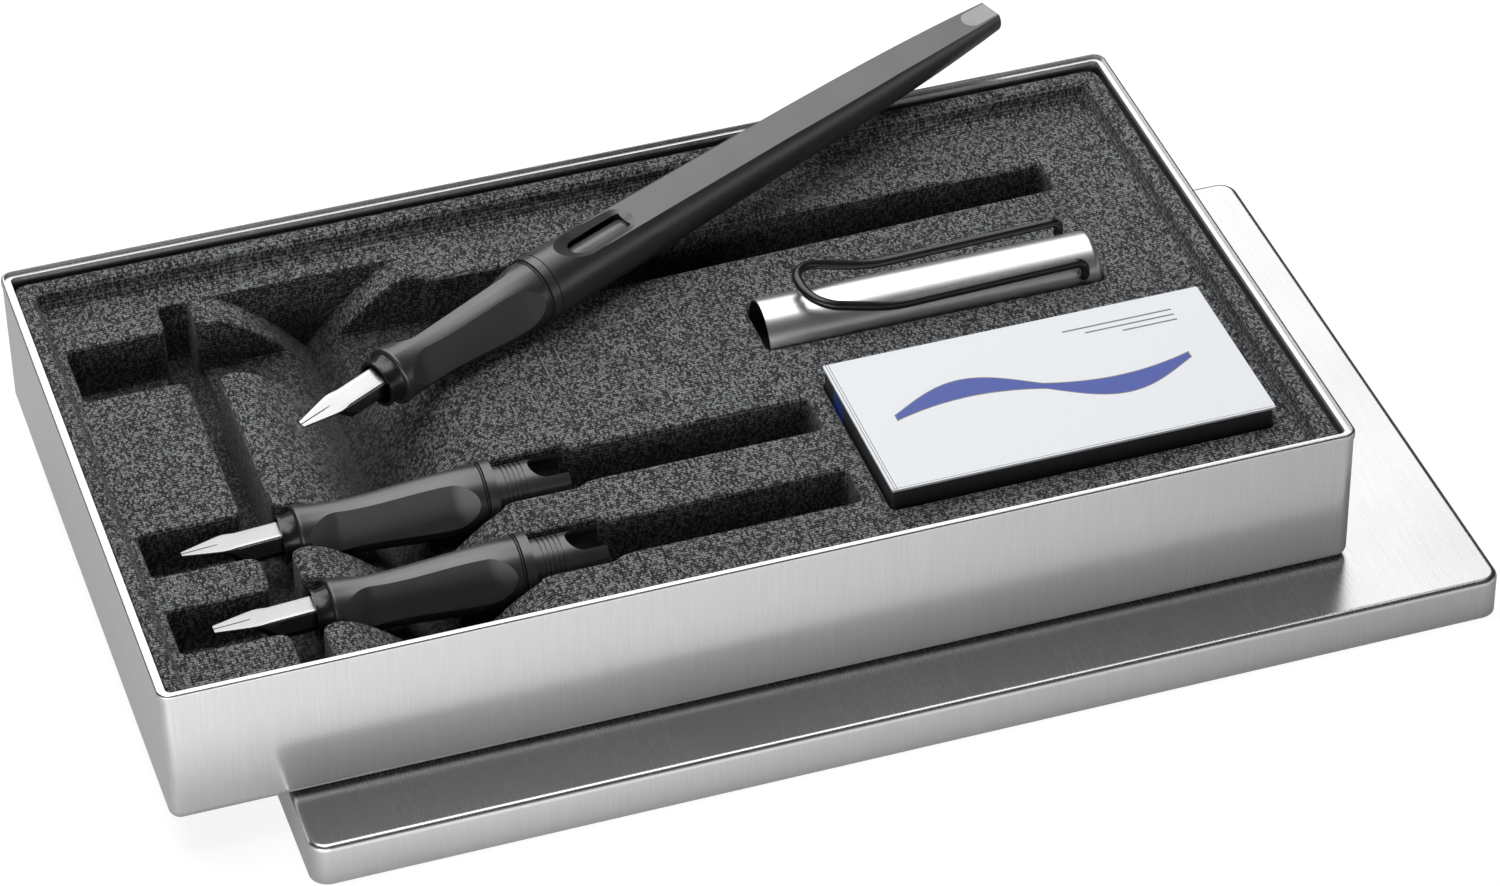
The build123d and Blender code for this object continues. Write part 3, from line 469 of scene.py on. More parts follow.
@dataclass(frozen=True)
class PrintedCard:
    """White coated card with a printed blue pen stroke, ruled grey lines and the edges of its layers."""

    name: str = "carton_white"
    white: Colour = (0.69, 0.705, 0.73, 1.0)
    blue: Colour = (0.010, 0.040, 0.30, 1.0)
    line_grey: Colour = (0.13, 0.13, 0.14, 1.0)
    roughness: float = 0.42
    stroke: Pair = (8.0, 66.0)
    stroke_middle: float = 20.0
    stroke_swing: float = 4.2
    stroke_half: Pair = (0.7, 2.5)
    stroke_swell: float = 1.2
    outline: float = 0.28
    rules: tuple[Triple, ...] = ((46.0, 68.0, 34.2), (50.0, 68.0, 32.6), (57.0, 68.0, 31.0))
    layer_lines: Pair = (0.55, 1.05)
    front_line: float = 0.45
    line_half: float = 0.07
    rule_half: float = 0.21
    fibre_tone: float = 0.985
    fibre_depth: float = 0.004
    fibre_strength: float = 0.2
    upward_from: float = 0.5

    def band(self, graph: Graph, value: Socket, middle: object, half: object) -> Socket:
        """1 where a value lies within a half width of a middle, else 0."""
        away = graph.math("ABSOLUTE", graph.math("SUBTRACT", value, middle))
        return graph.math("LESS_THAN", away, half)

    def material(self, low: Vector) -> Material:
        """Build the material.

        The stroke follows one turn of a sine. Its half width swells with the size of that sine, as a broad
        nib draws it, and the outline is the same stroke a little wider.

        Args:
            low: Lowest corner of the cover, where the print's millimetres start.

        Returns:
            The finished material.
        """
        graph = Graph(self.name)
        x, y, _ = graph.axes()
        u = graph.math("DIVIDE", graph.math("SUBTRACT", x, low.x), MM)
        v = graph.math("DIVIDE", graph.math("SUBTRACT", y, low.y), MM)
        length = self.stroke[1] - self.stroke[0]
        turn = graph.product(graph.math("SUBTRACT", u, self.stroke[0]), 2 * pi / length)
        wave = graph.math("SINE", turn)
        middle = graph.math("ADD", graph.product(wave, self.stroke_swing), self.stroke_middle)
        swell = graph.math("POWER", graph.math("ABSOLUTE", wave), self.stroke_swell)
        half = graph.spread(swell, 0, 1, *self.stroke_half)
        inside, rimmed = (graph.product(self.band(graph, u, sum(self.stroke) / 2, length / 2 + wider),
                                        self.band(graph, v, middle, graph.math("ADD", half, wider)))
                          for wider in (0.0, self.outline))
        lines = [rimmed, self.band(graph, v, self.front_line, self.line_half)]
        lines += [self.band(graph, u, inset, self.line_half) for inset in self.layer_lines]
        lines += [graph.product(self.band(graph, u, (start + end) / 2, (end - start) / 2),
                                self.band(graph, v, height, self.rule_half))
                  for start, end, height in self.rules]
        drawn = graph.math("MAXIMUM", *lines)
        upward = graph.math("GREATER_THAN", graph.axes(graph.facing)[2], self.upward_from)
        fibres = graph.noise(FIBRE_SCALE, 3.0)
        pale = tuple(self.fibre_tone * part for part in self.white[:3]) + (1.0,)
        paper = graph.mix(graph.vary(fibres, 0, 1), pale, self.white)
        ruled = graph.mix(graph.product(drawn, upward), paper, self.line_grey)
        colour = graph.mix(graph.product(inside, upward), ruled, self.blue)
        relief = graph.bump(fibres, self.fibre_depth, self.fibre_strength)
        return graph.surface(Base_Color=colour, Roughness=self.roughness, Normal=relief)


# --- Mesh helpers -----------------------------


@dataclass(frozen=True)
class Place:
    """Turns millimetres in the tray's frame into metres in the shared frame."""

    origin: Triple

    @classmethod
    def of_tray(cls) -> "Place":
        """Read where the middle of the tray's underside is from the frame."""
        low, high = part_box("tray_shell")
        return cls(((low.x + high.x) / 2, (low.y + high.y) / 2, low.z))

    def metres(self, points: Array) -> Array:
        """Points in metres in the shared frame, from millimetres in the tray's frame."""
        return points * MM + np.array(self.origin)


def grid_quads(rows: int, columns: int) -> Array:
    """Corners of each quad of a grid whose points are stored row by row, all in the same turning sense."""
    first = (np.arange(rows - 1)[:, None] * columns + np.arange(columns - 1)[None, :]).ravel()
    return np.stack([first, first + 1, first + columns + 1, first + columns], axis=1)


def placed(name: str, data: bpy.types.ID) -> bpy.types.Object:
    """Put a new object into the scene, at the origin."""
    made = bpy.data.objects.new(name, data)
    bpy.context.scene.collection.objects.link(made)
    return made


def mesh_piece(name: str, points: Array, faces: list, material: Material) -> bpy.types.Object:
    """Make a smooth piece from points in metres.

    Args:
        name: Name of the piece.
        points: One row of X, Y and Z for each point.
        faces: Indices of each face's corners.
        material: Its finish.

    Returns:
        The piece, at the origin.
    """
    mesh = bpy.data.meshes.new(name)
    mesh.from_pydata(points.tolist(), [], faces)
    mesh.validate()
    outward = bmesh.new()
    outward.from_mesh(mesh)
    bmesh.ops.recalc_face_normals(outward, faces=outward.faces)
    outward.to_mesh(mesh)
    outward.free()
    mesh.shade_smooth()
    mesh.set_sharp_from_angle(angle=radians(SHARP_ANGLE))
    mesh.materials.append(material)
    return placed(name, mesh)


def dress(node: str, material: Material) -> None:
    """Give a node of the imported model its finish."""
    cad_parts[node].data.materials.clear()
    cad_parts[node].data.materials.append(material)
    LOG.info("dressed %s", node)


def stand_in(piece: bpy.types.Object, node: str, body: Part) -> None:
    """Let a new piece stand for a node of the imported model.

    Args:
        piece: The new piece.
        node: Node that it replaces.
        body: Body that it rides on.
    """
    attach(piece, body.value)
    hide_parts(node)
    LOG.info("made %s for %s", piece.name, node)


def rect_distance(x: Array, y: Array, span_x: tuple, span_y: tuple, corner: float) -> Array:
    """Signed distance to a rectangle with round corners, negative inside.

    It is the distance to the rectangle shrunk by the corner radius, less that radius.

    Args:
        x: Points' X.
        y: Points' Y.
        span_x: Lowest and highest X of the rectangle.
        span_y: Lowest and highest Y, as numbers or as one value for each point.
        corner: Radius of its corners.

    Returns:
        The distance of each point.
    """
    past_x = np.abs(x - (span_x[0] + span_x[1]) / 2) - (span_x[1] - span_x[0]) / 2 + corner
    past_y = np.abs(y - (span_y[0] + span_y[1]) / 2) - (span_y[1] - span_y[0]) / 2 + corner
    outside = np.hypot(np.maximum(past_x, 0), np.maximum(past_y, 0))
    return outside + np.minimum(np.maximum(past_x, past_y), 0) - corner


def smooth_min(first: Array, second: Array, reach: float) -> Array:
    """The lesser of two values, blended by a parabola where they differ by less than a reach."""
    blend = np.maximum(reach - np.abs(first - second), 0) / reach
    return np.minimum(first, second) - blend * blend * reach / 4


def quarter_round(into: Array, radius: float) -> Array:
    """Drop of a quarter round some way into it: nothing at its start, its radius at its end."""
    into = np.clip(into, 0, radius)
    return radius - np.sqrt(radius * radius - into * into)


# --- Tin --------------------------------------


@dataclass
class Tin:
    """The drawn tray and its slip-over lid."""

    steel: BrushedSteel = BrushedSteel()

    def dress(self) -> None:
        """Finish both shells."""
        material = self.steel.material()
        dress("tray_shell", material)
        dress("lid_shell", material)


# --- Cloth-lined insert -----------------------


@dataclass
class InsertLining:
    """The lining of the insert: a border, a sunk field and soft-edged pockets, as one surface of heights."""

    tray_length: float = 225.8
    tray_width: float = 130.8
    side_gap: float = 2.05
    base: float = 0.4
    border_z: float = 27.3
    field_z: float = 23.1
    borders: Quad = (5.5, 5.9, 4.4, 6.2)
    field_corner: float = 2.0
    outer_corner: float = 2.4
    pocket_corner: float = 1.3
    edge_radius: float = 0.9
    foot_radius: float = 0.7
    border_radius: float = 1.6
    outer_radius: float = 1.1
    wall_lean: float = 0.35
    land_rounding: float = 2.4
    groove: tuple[float, ...] = (27.6, 5.9, 5.5, 12.2, 10.0)
    trough_left: float = 38.1
    trough_slopes: Pair = (17.8, 18.1)
    trough_back: float = 12.4
    trough_z: float = 6.8
    trough_bulge: float = 1.7
    shoulder_rounding: float = 1.6
    slot_left: float = 8.0
    pen_slot_back: float = 28.4
    pen_slot_z: float = 12.0
    nib_slot_width: float = 16.0
    notch_width: float = 18.5
    notch_length: float = 22.5
    slot_widths: Pair = (15.6, 8.2)
    slot_right: float = 22.0
    spares: tuple[Pair, ...] = ((46.2, 17.45), (23.9, 17.9))
    spare_z: float = 13.15
    channel_width: float = 12.2
    channel_length: float = 80.9
    flange_width: float = 14.4
    tail_width: float = 9.6
    tail_length: float = 80.3
    cap_recess: Quad = (23.1, 68.7, 56.4, 14.2)
    cap_z: float = 14.55
    carton_recess: Quad = (10.25, 75.3, 14.75, 39.6)
    carton_z: float = 18.35
    wall_lines: tuple[float, ...] = (-1.1, -0.75, -0.5, -0.36, -0.12, 0.0, 0.05, 0.18, 0.38, 0.62, 0.9, 1.3)
    rim_lines: tuple[float, ...] = (0.0, 0.05, 0.18, 0.4, 0.7, 1.1)
    bend_lines: tuple[float, ...] = (-1.2, -0.6, -0.25, 0.0, 0.25, 0.6, 1.2)
    line_pitch: float = 2.1
    line_least: float = 0.045
    taper_reach: Pair = (1.3, 7.0)
    taper_blend: float = 1.0

    def __post_init__(self) -> None:
        """Work out the places that follow from the sizes."""
        self.left, self.right = -self.tray_length / 2, self.tray_length / 2
        self.front, self.back = -self.tray_width / 2, self.tray_width / 2
        self.half_x, self.half_y = self.right - self.side_gap, self.back - self.side_gap
        self.field_x = (self.left + self.borders[0], self.right - self.borders[1])
        self.field_y = (self.front + self.borders[2], self.back - self.borders[3])
        self.shoulder_left = self.left + self.trough_left
        self.valley = self.shoulder_left + self.trough_slopes[0]
        self.shoulder_right = self.valley + self.trough_slopes[1]
        self.slot_y = self.back - self.pen_slot_back
        self.slot_end = self.right - self.slot_right
        self.notch_end = self.valley + self.notch_length
        self.steepness = (self.border_z - self.trough_z) / self.wall_lean

    def slot_half_width(self, x: Array) -> Array:
        """Half the width of the pen's slot, which narrows in a straight line to its far end."""
        share = np.clip((x - self.valley) / (self.slot_end - self.valley), 0, 1)
        return (self.slot_widths[0] + (self.slot_widths[1] - self.slot_widths[0]) * share) / 2

    def pockets(self, x: Array) -> list[tuple]:
        """Every pocket with upright walls.

        Args:
            x: X of the points, for the slot that tapers.

        Returns:
            For each pocket its X span, its Y span and the height of its floor.
        """
        start, valley, z = self.left + self.slot_left, self.valley, self.pen_slot_z
        groove_x, groove_width, groove_front, groove_back, groove_z = self.groove
        found = [((self.left + groove_x, self.left + groove_x + groove_width),
                  (self.front + groove_front, self.back - groove_back), groove_z)]
        wells = [((start, valley), self.slot_y, self.nib_slot_width, z),
                 ((valley, self.notch_end), self.slot_y, self.notch_width, z),
                 ((valley, self.slot_end), self.slot_y, 2 * self.slot_half_width(x), z)]
        for from_front, flange_reach in self.spares:
            wells += [(span, self.front + from_front, width, self.spare_z)
                      for span, width in (((start, start + self.channel_length), self.channel_width),
                                          ((valley, valley + flange_reach), self.flange_width),
                                          ((valley, valley + self.tail_length), self.tail_width))]
        end, length, from_back, width = self.cap_recess
        cap_span = (self.right - end - length, self.right - end)
        wells.append((cap_span, self.back - from_back, width, self.cap_z))
        found += [(span, (middle - width / 2, middle + width / 2), z) for span, middle, width, z in wells]
        end, length, from_front, width = self.carton_recess
        found.append(((self.right - end - length, self.right - end),
                      (self.front + from_front, self.front + from_front + width), self.carton_z))
        return found

    def wall(self, distance: Array, top: object, radius: float) -> Array:
        """Height of a pocket's wall: the land's level outside, a quarter round, then steeply down."""
        return top - quarter_round(radius - distance, radius) + np.minimum(distance, 0) * self.steepness

    def foot(self, distance: Array, radius: float) -> Array:
        """Rise of a floor where it turns up into a wall, as a quarter round."""
        return quarter_round(distance + self.wall_lean + radius, radius)

    def land(self, x: Array, y: Array) -> Array:
        """Height of the field with the finger trough in it.

        Each side of the trough is a straight slope plus a parabola that bulges it, and the trough ends in a
        wall at its back.

        Args:
            x: Points' X.
            y: Points' Y.

        Returns:
            The height at each point.
        """
        depth = self.field_z - self.trough_z
        down_left = (x - self.shoulder_left) / self.trough_slopes[0]
        down_right = (self.shoulder_right - x) / self.trough_slopes[1]
        down = np.minimum(down_left, down_right)
        bulge = 4 * self.trough_bulge * np.clip(down, 0, 1) * (1 - np.clip(down, 0, 1))
        trough = self.field_z - depth * down + bulge
        behind = y - (self.back - self.trough_back)
        end = self.wall(behind, self.field_z + self.shoulder_rounding, self.edge_radius)
        return smooth_min(np.full_like(x, self.field_z), np.maximum(trough, end), self.shoulder_rounding)

    def heights(self, x: Array, y: Array) -> Array:
        """Height of the lining: the land, cut down by the pockets and raised at the border.

        Args:
            x: Points' X.
            y: Points' Y.

        Returns:
            The height at each point.
        """
        in_field = rect_distance(x, y, self.field_x, self.field_y, self.field_corner)
        land = self.land(x, y)
        inside, floor = np.full_like(x, FAR), np.full_like(x, FAR)
        for span_x, span_y, level in self.pockets(x):
            distance = rect_distance(x, y, span_x, span_y, self.pocket_corner)
            inside = smooth_min(inside, distance, self.land_rounding)
            floor = np.minimum(floor, level + self.steepness * np.maximum(distance - self.foot_radius, 0))
        floor = floor + self.foot(inside, self.foot_radius)
        sunk = np.minimum(land, np.maximum(floor, self.wall(inside, land, self.edge_radius)))
        sunk = sunk + self.foot(in_field, self.border_radius)
        top = np.maximum(sunk, self.wall(in_field, self.border_z, self.border_radius))
        outside = rect_distance(x, y, (-self.half_x, self.half_x), (-self.half_y, self.half_y),
                                self.outer_corner)
        return top - quarter_round(outside + self.outer_radius, self.outer_radius)

    def lines(self, walls: list[tuple[float, int]], half: float, extra: list[float]) -> Array:
        """Places of the grid's lines along one axis, close together at every wall.

        Args:
            walls: Place of each wall, and -1 or 1 for the side that is outside the pocket.
            half: Half the length of the insert along this axis.
            extra: Other places that need a line.

        Returns:
            The places in rising order.
        """
        rim = np.array(self.rim_lines)
        places = [place + side * np.array(self.wall_lines) for place, side in walls]
        places += [half - rim, rim - half, np.array(extra), np.arange(-half, half, self.line_pitch)]
        found = np.unique(np.round(np.clip(np.concatenate(places), -half, half), 3))
        return found[np.concatenate([[True], np.diff(found) > self.line_least])]

    def follow_taper(self, x: Array, y: Array) -> Array:
        """Move the grid's lines beside the pen's slot so that they run along its slanting walls.

        Args:
            x: Points' X.
            y: Points' Y.

        Returns:
            The moved Y of each point.
        """
        straight = self.nib_slot_width / 2
        share = np.clip((x - self.notch_end + self.taper_blend) / (2 * self.taper_blend), 0, 1)
        half = straight + (self.slot_half_width(x) - straight) * share
        away = np.abs(y - self.slot_y)
        near, far = self.taper_reach
        inner = away * (half - near) / (straight - near)
        beside = away - straight + half
        outer = half + near + (away - straight - near) * (far - near + straight - half) / (far - near)
        moved = np.where(away < straight - near, inner, np.where(away < straight + near, beside, outer))
        return np.where(away < straight + far, self.slot_y + np.sign(y - self.slot_y) * moved, y)

    def build(self, place: Place, material: Material) -> bpy.types.Object:
        """Make the closed lining.

        Args:
            place: Where the tray is.
            material: Its cloth.

        Returns:
            The piece, which stands for the insert.
        """
        outward = (-1, 1)
        walls_x = [*zip(self.field_x, outward)]
        walls_y = [*zip(self.field_y, outward), (self.back - self.trough_back, 1)]
        for span_x, span_y, _ in self.pockets(np.array([0.0])):
            walls_x += zip(span_x, outward)
            if np.ndim(span_y[0]) == 0:
                walls_y += zip(span_y, outward)
        bends = [self.shoulder_left, self.shoulder_right, self.valley]
        extra = [bend + step for bend in bends for step in self.bend_lines]
        across = self.lines(walls_x, self.half_x, extra)
        along = self.lines(walls_y, self.half_y, [])
        x, y = np.meshgrid(across, along)
        y = self.follow_taper(x, y)
        z = self.heights(x, y)
        straight_x, straight_y = self.half_x - self.outer_corner, self.half_y - self.outer_corner
        over_x, over_y = np.abs(x) - straight_x, np.abs(y) - straight_y
        reach = np.hypot(np.maximum(over_x, 0), np.maximum(over_y, 0))
        pull = self.outer_corner / np.maximum(reach, self.outer_corner)
        pull = np.where((over_x > 0) & (over_y > 0), pull, 1)
        x = np.where(pull < 1, np.sign(x) * (straight_x + over_x * pull), x)
        y = np.where(pull < 1, np.sign(y) * (straight_y + over_y * pull), y)
        rows, columns = x.shape
        top = np.stack([x.ravel(), y.ravel(), z.ravel()], axis=1)
        index = np.arange(rows * columns).reshape(rows, columns)
        rim = np.concatenate([index[0, :-1], index[:-1, -1], index[-1, :0:-1], index[:0:-1, 0]])
        skirt = top[rim].copy()
        skirt[:, 2] = self.base
        low = rows * columns + np.arange(len(rim))
        sides = np.stack([rim, low, np.roll(low, -1), np.roll(rim, -1)], axis=1)
        faces = grid_quads(rows, columns).tolist() + sides.tolist() + [low[::-1].tolist()]
        return mesh_piece("insert_lining", place.metres(np.concatenate([top, skirt])), faces, material)


# --- Writing heads ----------------------------


@dataclass(frozen=True)
class HeadAxis:
    """Where a writing head lies: the middle of its grip's front face, and how its axis lies and rolls."""

    origin: Triple
    yaw: float = 0.0
    pitch: float = 0.0
    roll: float = 0.0

    def tray_points(self, points: Array, slope: float) -> Array:
        """Turn points into the tray's frame.

        Args:
            points: Rows of the distance along the axis, to its side and above it.
            slope: Degrees by which the points' own axis dips towards the nib's tip.

        Returns:
            The points in the tray's frame.
        """
        turn, rise, roll, dip = radians(self.yaw), radians(self.pitch), radians(self.roll), radians(slope)
        along = np.array([cos(rise) * cos(turn), cos(rise) * sin(turn), sin(rise)])
        side = np.array([-sin(turn), cos(turn), 0.0])
        above = np.cross(along, side)
        side, above = side * cos(roll) + above * sin(roll), above * cos(roll) - side * sin(roll)
        along, above = along * cos(dip) + above * sin(dip), above * cos(dip) - along * sin(dip)
        return np.array(self.origin) + points @ np.stack([along, side, above])


@dataclass
class NibSheet:
    """Folded steel nib: a broad flat top with shoulders, a slit, rounded folds and two sides."""

    axis: HeadAxis
    tip_width: float
    reach: float = 21.0
    shoulder: float = 7.6
    width: float = 4.8
    sheet: float = 0.3
    top: float = 3.0
    slope: float = 3.5
    side_depth: float = 3.5
    edge_depth: float = 0.36
    tail: float = 0.5
    slit_half: float = 0.06
    slit_length: float = 6.5
    slit_depth: float = 0.22
    fold: float = 0.55
    front_fold: float = 0.07
    inner_fold: float = 0.03
    sweep: float = 4.4
    shoulder_blend: float = 0.35
    fold_growth: float = 1.6
    side_step: float = 0.6
    flat_step: float = 0.1
    slit_lip: float = 2.2

    def stations(self) -> Array:
        """Choose places along the axis, close together where the outline bends.

        Returns:
            The places, from the tip to the tail.
        """
        tip, bend = -self.reach, self.shoulder - self.reach
        tip_steps = tip + np.array([0.0, 0.05, 0.15, 0.4])
        slope = np.linspace(tip + 1, bend - 0.8, 9)
        bend_steps = bend + np.array([-0.5, -0.3, -0.15, 0.0, 0.15, 0.3, 0.5])
        sweep = np.linspace(bend + 0.9, bend + self.sweep + 0.4, 12)
        return np.concatenate([tip_steps, slope, bend_steps, sweep, np.linspace(-7, self.tail, 5)])

    def section(self, half: float, top: float, depth: float, fold: float, slit: float) -> Array:
        """Open outline across the nib: up one side, over the folds and the top, and down the other side.

        Args:
            half: Half its width.
            top: Height of the top.
            depth: How far its sides reach below the top.
            fold: Radius of the folds.
            slit: Depth of the slit in the middle.

        Returns:
            One row of sideways place and height for each point.
        """
        arc = np.radians([0, 22.5, 45, 67.5, 90])
        side = np.array([[half, top - depth], [half, top - fold - self.side_step * (depth - fold)]])
        round_points = np.stack([half - fold + fold * np.cos(arc), top - fold + fold * np.sin(arc)], axis=1)
        flat = np.array([[(half - fold) / 2 + self.flat_step, top], [self.slit_lip * self.slit_half, top],
                         [self.slit_half, top - slit]])
        right = np.concatenate([side, round_points, flat])
        left = right[::-1] * np.array([-1.0, 1.0])
        return np.concatenate([left[::-1], right[::-1]])

    def build(self, name: str, place: Place, material: Material) -> bpy.types.Object:
        """Make the closed sheet.

        The half width runs in a straight line from the tip to the shoulder, and the sides grow from the
        shoulder back along a smooth step.

        Args:
            name: Name of the piece.
            place: Where the tray is.
            material: Its steel.

        Returns:
            The piece.
        """
        bend = self.shoulder - self.reach
        rings = []
        for station in self.stations():
            share = (station + self.reach) / self.shoulder
            slope = self.tip_width / 2 + (self.width - self.tip_width) / 2 * share
            half = float(smooth_min(np.array(slope), np.array(self.width / 2), self.shoulder_blend))
            grown = min(max((station - bend) / self.sweep, 0), 1)
            grown = grown * grown * (3 - 2 * grown)
            depth = self.edge_depth + (self.side_depth - self.edge_depth) * grown
            fold = self.front_fold + (self.fold - self.front_fold) * min(1, self.fold_growth * grown)
            slit = self.slit_depth if station < self.slit_length - self.reach else 0.0
            outer = self.section(half, self.top, depth, fold, slit)
            inner = self.section(half - self.sheet, self.top - self.sheet, depth - self.sheet,
                                 max(fold - self.sheet, self.inner_fold), 0.0)
            ring = np.concatenate([outer, inner[::-1]])
            rings.append(np.column_stack([np.full(len(ring), station), ring]))
        rings = np.array(rings)
        rows, columns, _ = rings.shape
        wrapped = grid_quads(rows, columns + 1)
        index = np.arange(rows * columns).reshape(rows, columns)
        index = np.concatenate([index, index[:, :1]], axis=1).ravel()
        faces = index[wrapped].tolist()
        for first in (0, (rows - 1) * columns):
            last = first + columns - 1
            faces += [[first + step, first + step + 1, last - 1 - step, last - step]
                      for step in range(columns // 2 - 1)]
        points = self.axis.tray_points(rings.reshape(-1, 3), self.slope)
        return mesh_piece(name, place.metres(points), faces, material)


@dataclass
class WritingHead:
    """One grip section with its seal, collar, feed and nib."""

    body: Part
    axis: HeadAxis
    tip_width: float

    def build(self, place: Place, finishes: dict[str, Material]) -> None:
        """Finish the moulded parts of the head and give it its folded nib.

        Args:
            place: Where the tray is.
            finishes: Material of each of its parts.
        """
        name = self.body.value
        for part in ("section", "seal", "collar", "feed"):
            dress(f"{name}_{part}", finishes[part])
        nib = NibSheet(self.axis, self.tip_width).build(f"{name}_folded_nib", place, finishes["nib"])
        stand_in(nib, f"{name}_nib", self.body)


# --- Studio -----------------------------------


@dataclass(frozen=True)
class SoftBox:
    """A square studio lamp that points at the set."""

    name: str
    place: Triple
    size: Pair
    power: float
    aim: Triple = (0.0, 0.0, 0.02)

    def build(self) -> None:
        """Hang the lamp."""
        lamp = bpy.data.lights.new(self.name, "AREA")
        lamp.shape = "RECTANGLE"
        lamp.size, lamp.size_y = self.size
        lamp.energy = self.power
        holder = placed(self.name, lamp)
        holder.location = self.place
        holder.rotation_euler = (Vector(self.aim) - Vector(self.place)).to_track_quat("-Z", "Y").to_euler()


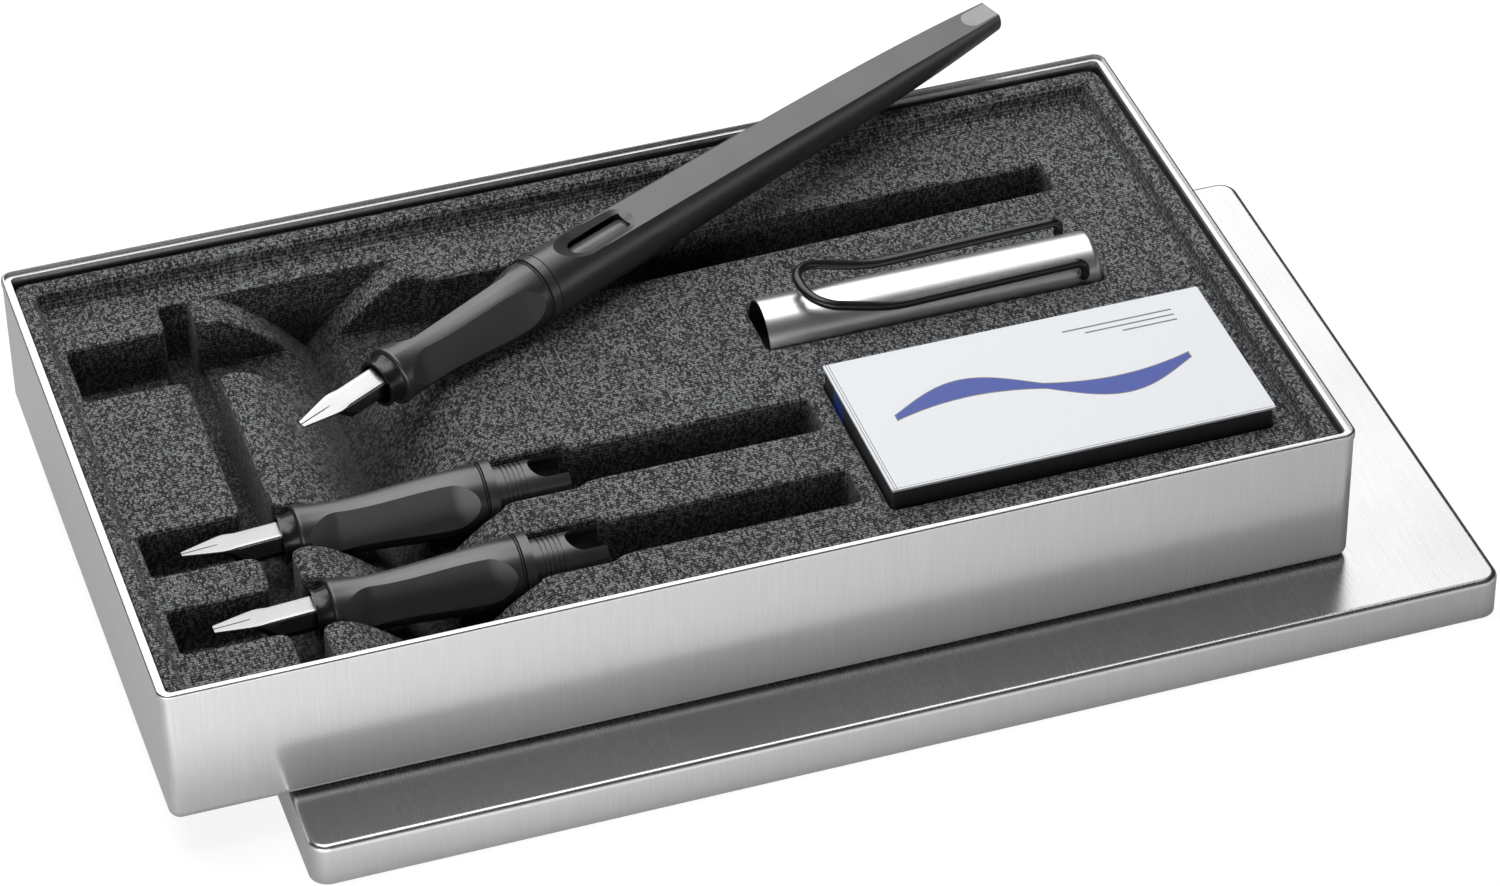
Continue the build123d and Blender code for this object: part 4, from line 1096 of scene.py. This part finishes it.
@dataclass
class Studio:
    """White floor and backdrop, soft lamps and the camera."""

    camera_place: Triple = (-0.244905, -0.776369, 0.66316)
    camera_angles: Triple = (-17.781, 38.588, -0.862)
    camera_lens: float = 131.27
    floor_half: float = 3.0
    floor_shade: float = 0.22
    floor_white: float = 0.87
    paper_scale: float = 3.0
    paper_tone: Pair = (0.99, 1.0)
    floor_mirrored: Pair = (0.98, 0.12)
    far_lift: Triple = (-0.50, -0.16, 2.4)
    floor_fade: Pair = (-0.12, 0.18)
    near_shade: float = 0.25
    near_reach: float = 16.0
    room_light: float = 0.06
    front_wall: float = 1.6
    front_fade: Pair = (-0.30, 0.10)
    front_height: Pair = (0.05, 0.36)
    lamps: tuple[SoftBox, ...] = (SoftBox("back_lamp", (-0.1, 1.3, 1.25), (2.2, 1.3), 24.0),
                                  SoftBox("top_lamp", (-0.1, 0.15, 1.5), (1.3, 1.1), 17.0),
                                  SoftBox("front_lamp", (-0.7, -1.3, 0.30), (1.6, 0.5), 7.5))

    def world(self) -> None:
        """Dim room that the camera sees as white, and whose low front wall shows pale in metal and gloss."""
        world = bpy.data.worlds.new("studio")
        bpy.context.scene.world = world
        world.use_nodes = True
        nodes = Nodes(world.node_tree, "ShaderNodeOutputWorld")
        path = nodes.add("ShaderNodeLightPath")
        level = nodes.spread(path.outputs["Is Camera Ray"], 0, 1, self.room_light, 1.0)
        _, y, z = nodes.axes(nodes.heading)
        ahead = nodes.spread(y, *self.front_fade, self.front_wall, 0.0)
        low = nodes.spread(z, *self.front_height, 1.0, 0.0)
        shown = nodes.product(path.outputs["Is Glossy Ray"], ahead, low)
        strength = nodes.math("ADD", shown, level)
        nodes.finish(nodes.add("ShaderNodeBackground", {"Strength": strength}).outputs[0])

    def floor(self) -> None:
        """Large white floor that keeps the shadow of the set.

        In the metal it is dimmer towards the right, and close in front of the lid, where little light gets.
        """
        graph = Graph("studio_floor")
        path = graph.add("ShaderNodeLightPath")
        colour = graph.tone(graph.noise(self.paper_scale), self.floor_shade, *self.paper_tone)
        matt = graph.add("ShaderNodeBsdfDiffuse", {"Color": colour})
        x, y, _ = graph.axes()
        lid_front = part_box("lid_shell")[0].y
        near = graph.spread(y, lid_front - self.near_reach * MM, lid_front, 1.0, self.near_shade)
        start, end, most = self.far_lift
        far = graph.spread(y, start, end, most, 1.0)
        mirrored = graph.product(graph.spread(x, *self.floor_fade, *self.floor_mirrored), near, far)
        seen = graph.product(path.outputs["Is Camera Ray"], self.floor_white)
        lift = graph.math("ADD", seen, graph.product(path.outputs["Is Glossy Ray"], mirrored))
        glow = graph.add("ShaderNodeEmission", {"Strength": lift})
        both = graph.add("ShaderNodeAddShader", {0: matt.outputs[0], 1: glow.outputs[0]})
        graph.finish(both.outputs[0])
        corners = self.floor_half * np.array([[-1, -1, 0], [1, -1, 0], [1, 1, 0], [-1, 1, 0]])
        mesh_piece("studio_floor", corners, [[0, 1, 2, 3]], graph.material)

    def camera(self) -> None:
        """Camera on the front left, looking down at the tin."""
        azimuth, elevation, roll = (radians(angle) for angle in self.camera_angles)
        back = Vector((sin(azimuth) * cos(elevation), -cos(azimuth) * cos(elevation), sin(elevation)))
        level = Vector((0, 0, 1)).cross(back).normalized()
        upright = back.cross(level)
        side = level * cos(roll) + upright * sin(roll)
        up = upright * cos(roll) - level * sin(roll)
        lens = bpy.data.cameras.new("camera")
        lens.lens = self.camera_lens
        lens.sensor_width = 36.0
        lens.clip_end = 20.0
        holder = placed("camera", lens)
        turn = Matrix((side, up, back)).transposed().to_4x4()
        holder.matrix_world = Matrix.Translation(self.camera_place) @ turn
        bpy.context.scene.camera = holder

    def build(self) -> None:
        """Set up everything around the set."""
        bpy.context.scene.view_settings.view_transform = "Standard"
        self.world()
        self.floor()
        self.camera()
        for lamp in self.lamps:
            lamp.build()


def main() -> None:
    """Dress the whole set and light it."""
    logging.basicConfig(level=logging.INFO, format="%(name)s: %(message)s")
    place = Place.of_tray()
    satin = Moulded("satin_black", shade=0.022, roughness=0.35, gloss=0.9).material()
    gloss = Moulded("gloss_black", shade=0.008, roughness=0.28).material()
    rubber = Moulded("seal_rubber", shade=0.012, roughness=0.42).material()
    liner = Moulded("liner_black", shade=0.010, roughness=0.45).material()
    inlay = Moulded("inlay_grey", shade=0.30, roughness=0.35).material()
    converter = Moulded("converter_grey", shade=0.10, roughness=0.22).material()
    nib_steel = SatinMetal("nib_steel", shade=0.27, roughness=0.27, warmth=0.005).material()
    aluminium = SatinMetal("cap_aluminium", shade=0.68, roughness=0.34).material()
    Tin().dress()
    lining = InsertLining()
    cloth = KnitCloth().material(place.origin[2] + lining.field_z * MM)
    stand_in(lining.build(place, cloth), "insert", Part.INSERT)
    pen = HeadAxis((-50.6, 10.6, 28.4062), yaw=24.4, pitch=2.6695, roll=13.0)
    head_finishes = {"section": satin, "seal": rubber, "collar": gloss, "feed": gloss, "nib": nib_steel}
    for head in (WritingHead(Part.PEN, pen, tip_width=1.5),
                 WritingHead(Part.SPARE_1, HeadAxis((-76.95, -19.2, 20.2)), tip_width=1.1),
                 WritingHead(Part.SPARE_2, HeadAxis((-76.5, -41.5, 20.2)), tip_width=1.9)):
        head.build(place, head_finishes)
    finishes = {"pen_barrel": satin, "pen_end_inlay": inlay, "pen_cartridge": converter,
                "ink_cartridges": InkPlastic().material(), "cap_tube": aluminium, "cap_liner": liner,
                "cap_crown": liner, "cap_clip": gloss,
                "carton_box": DarkCard().material(*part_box("carton_box")),
                "carton_cover": PrintedCard().material(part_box("carton_cover")[0])}
    for node, material in finishes.items():
        dress(node, material)
    Studio().build()


if __name__ == "__main__":
    main()
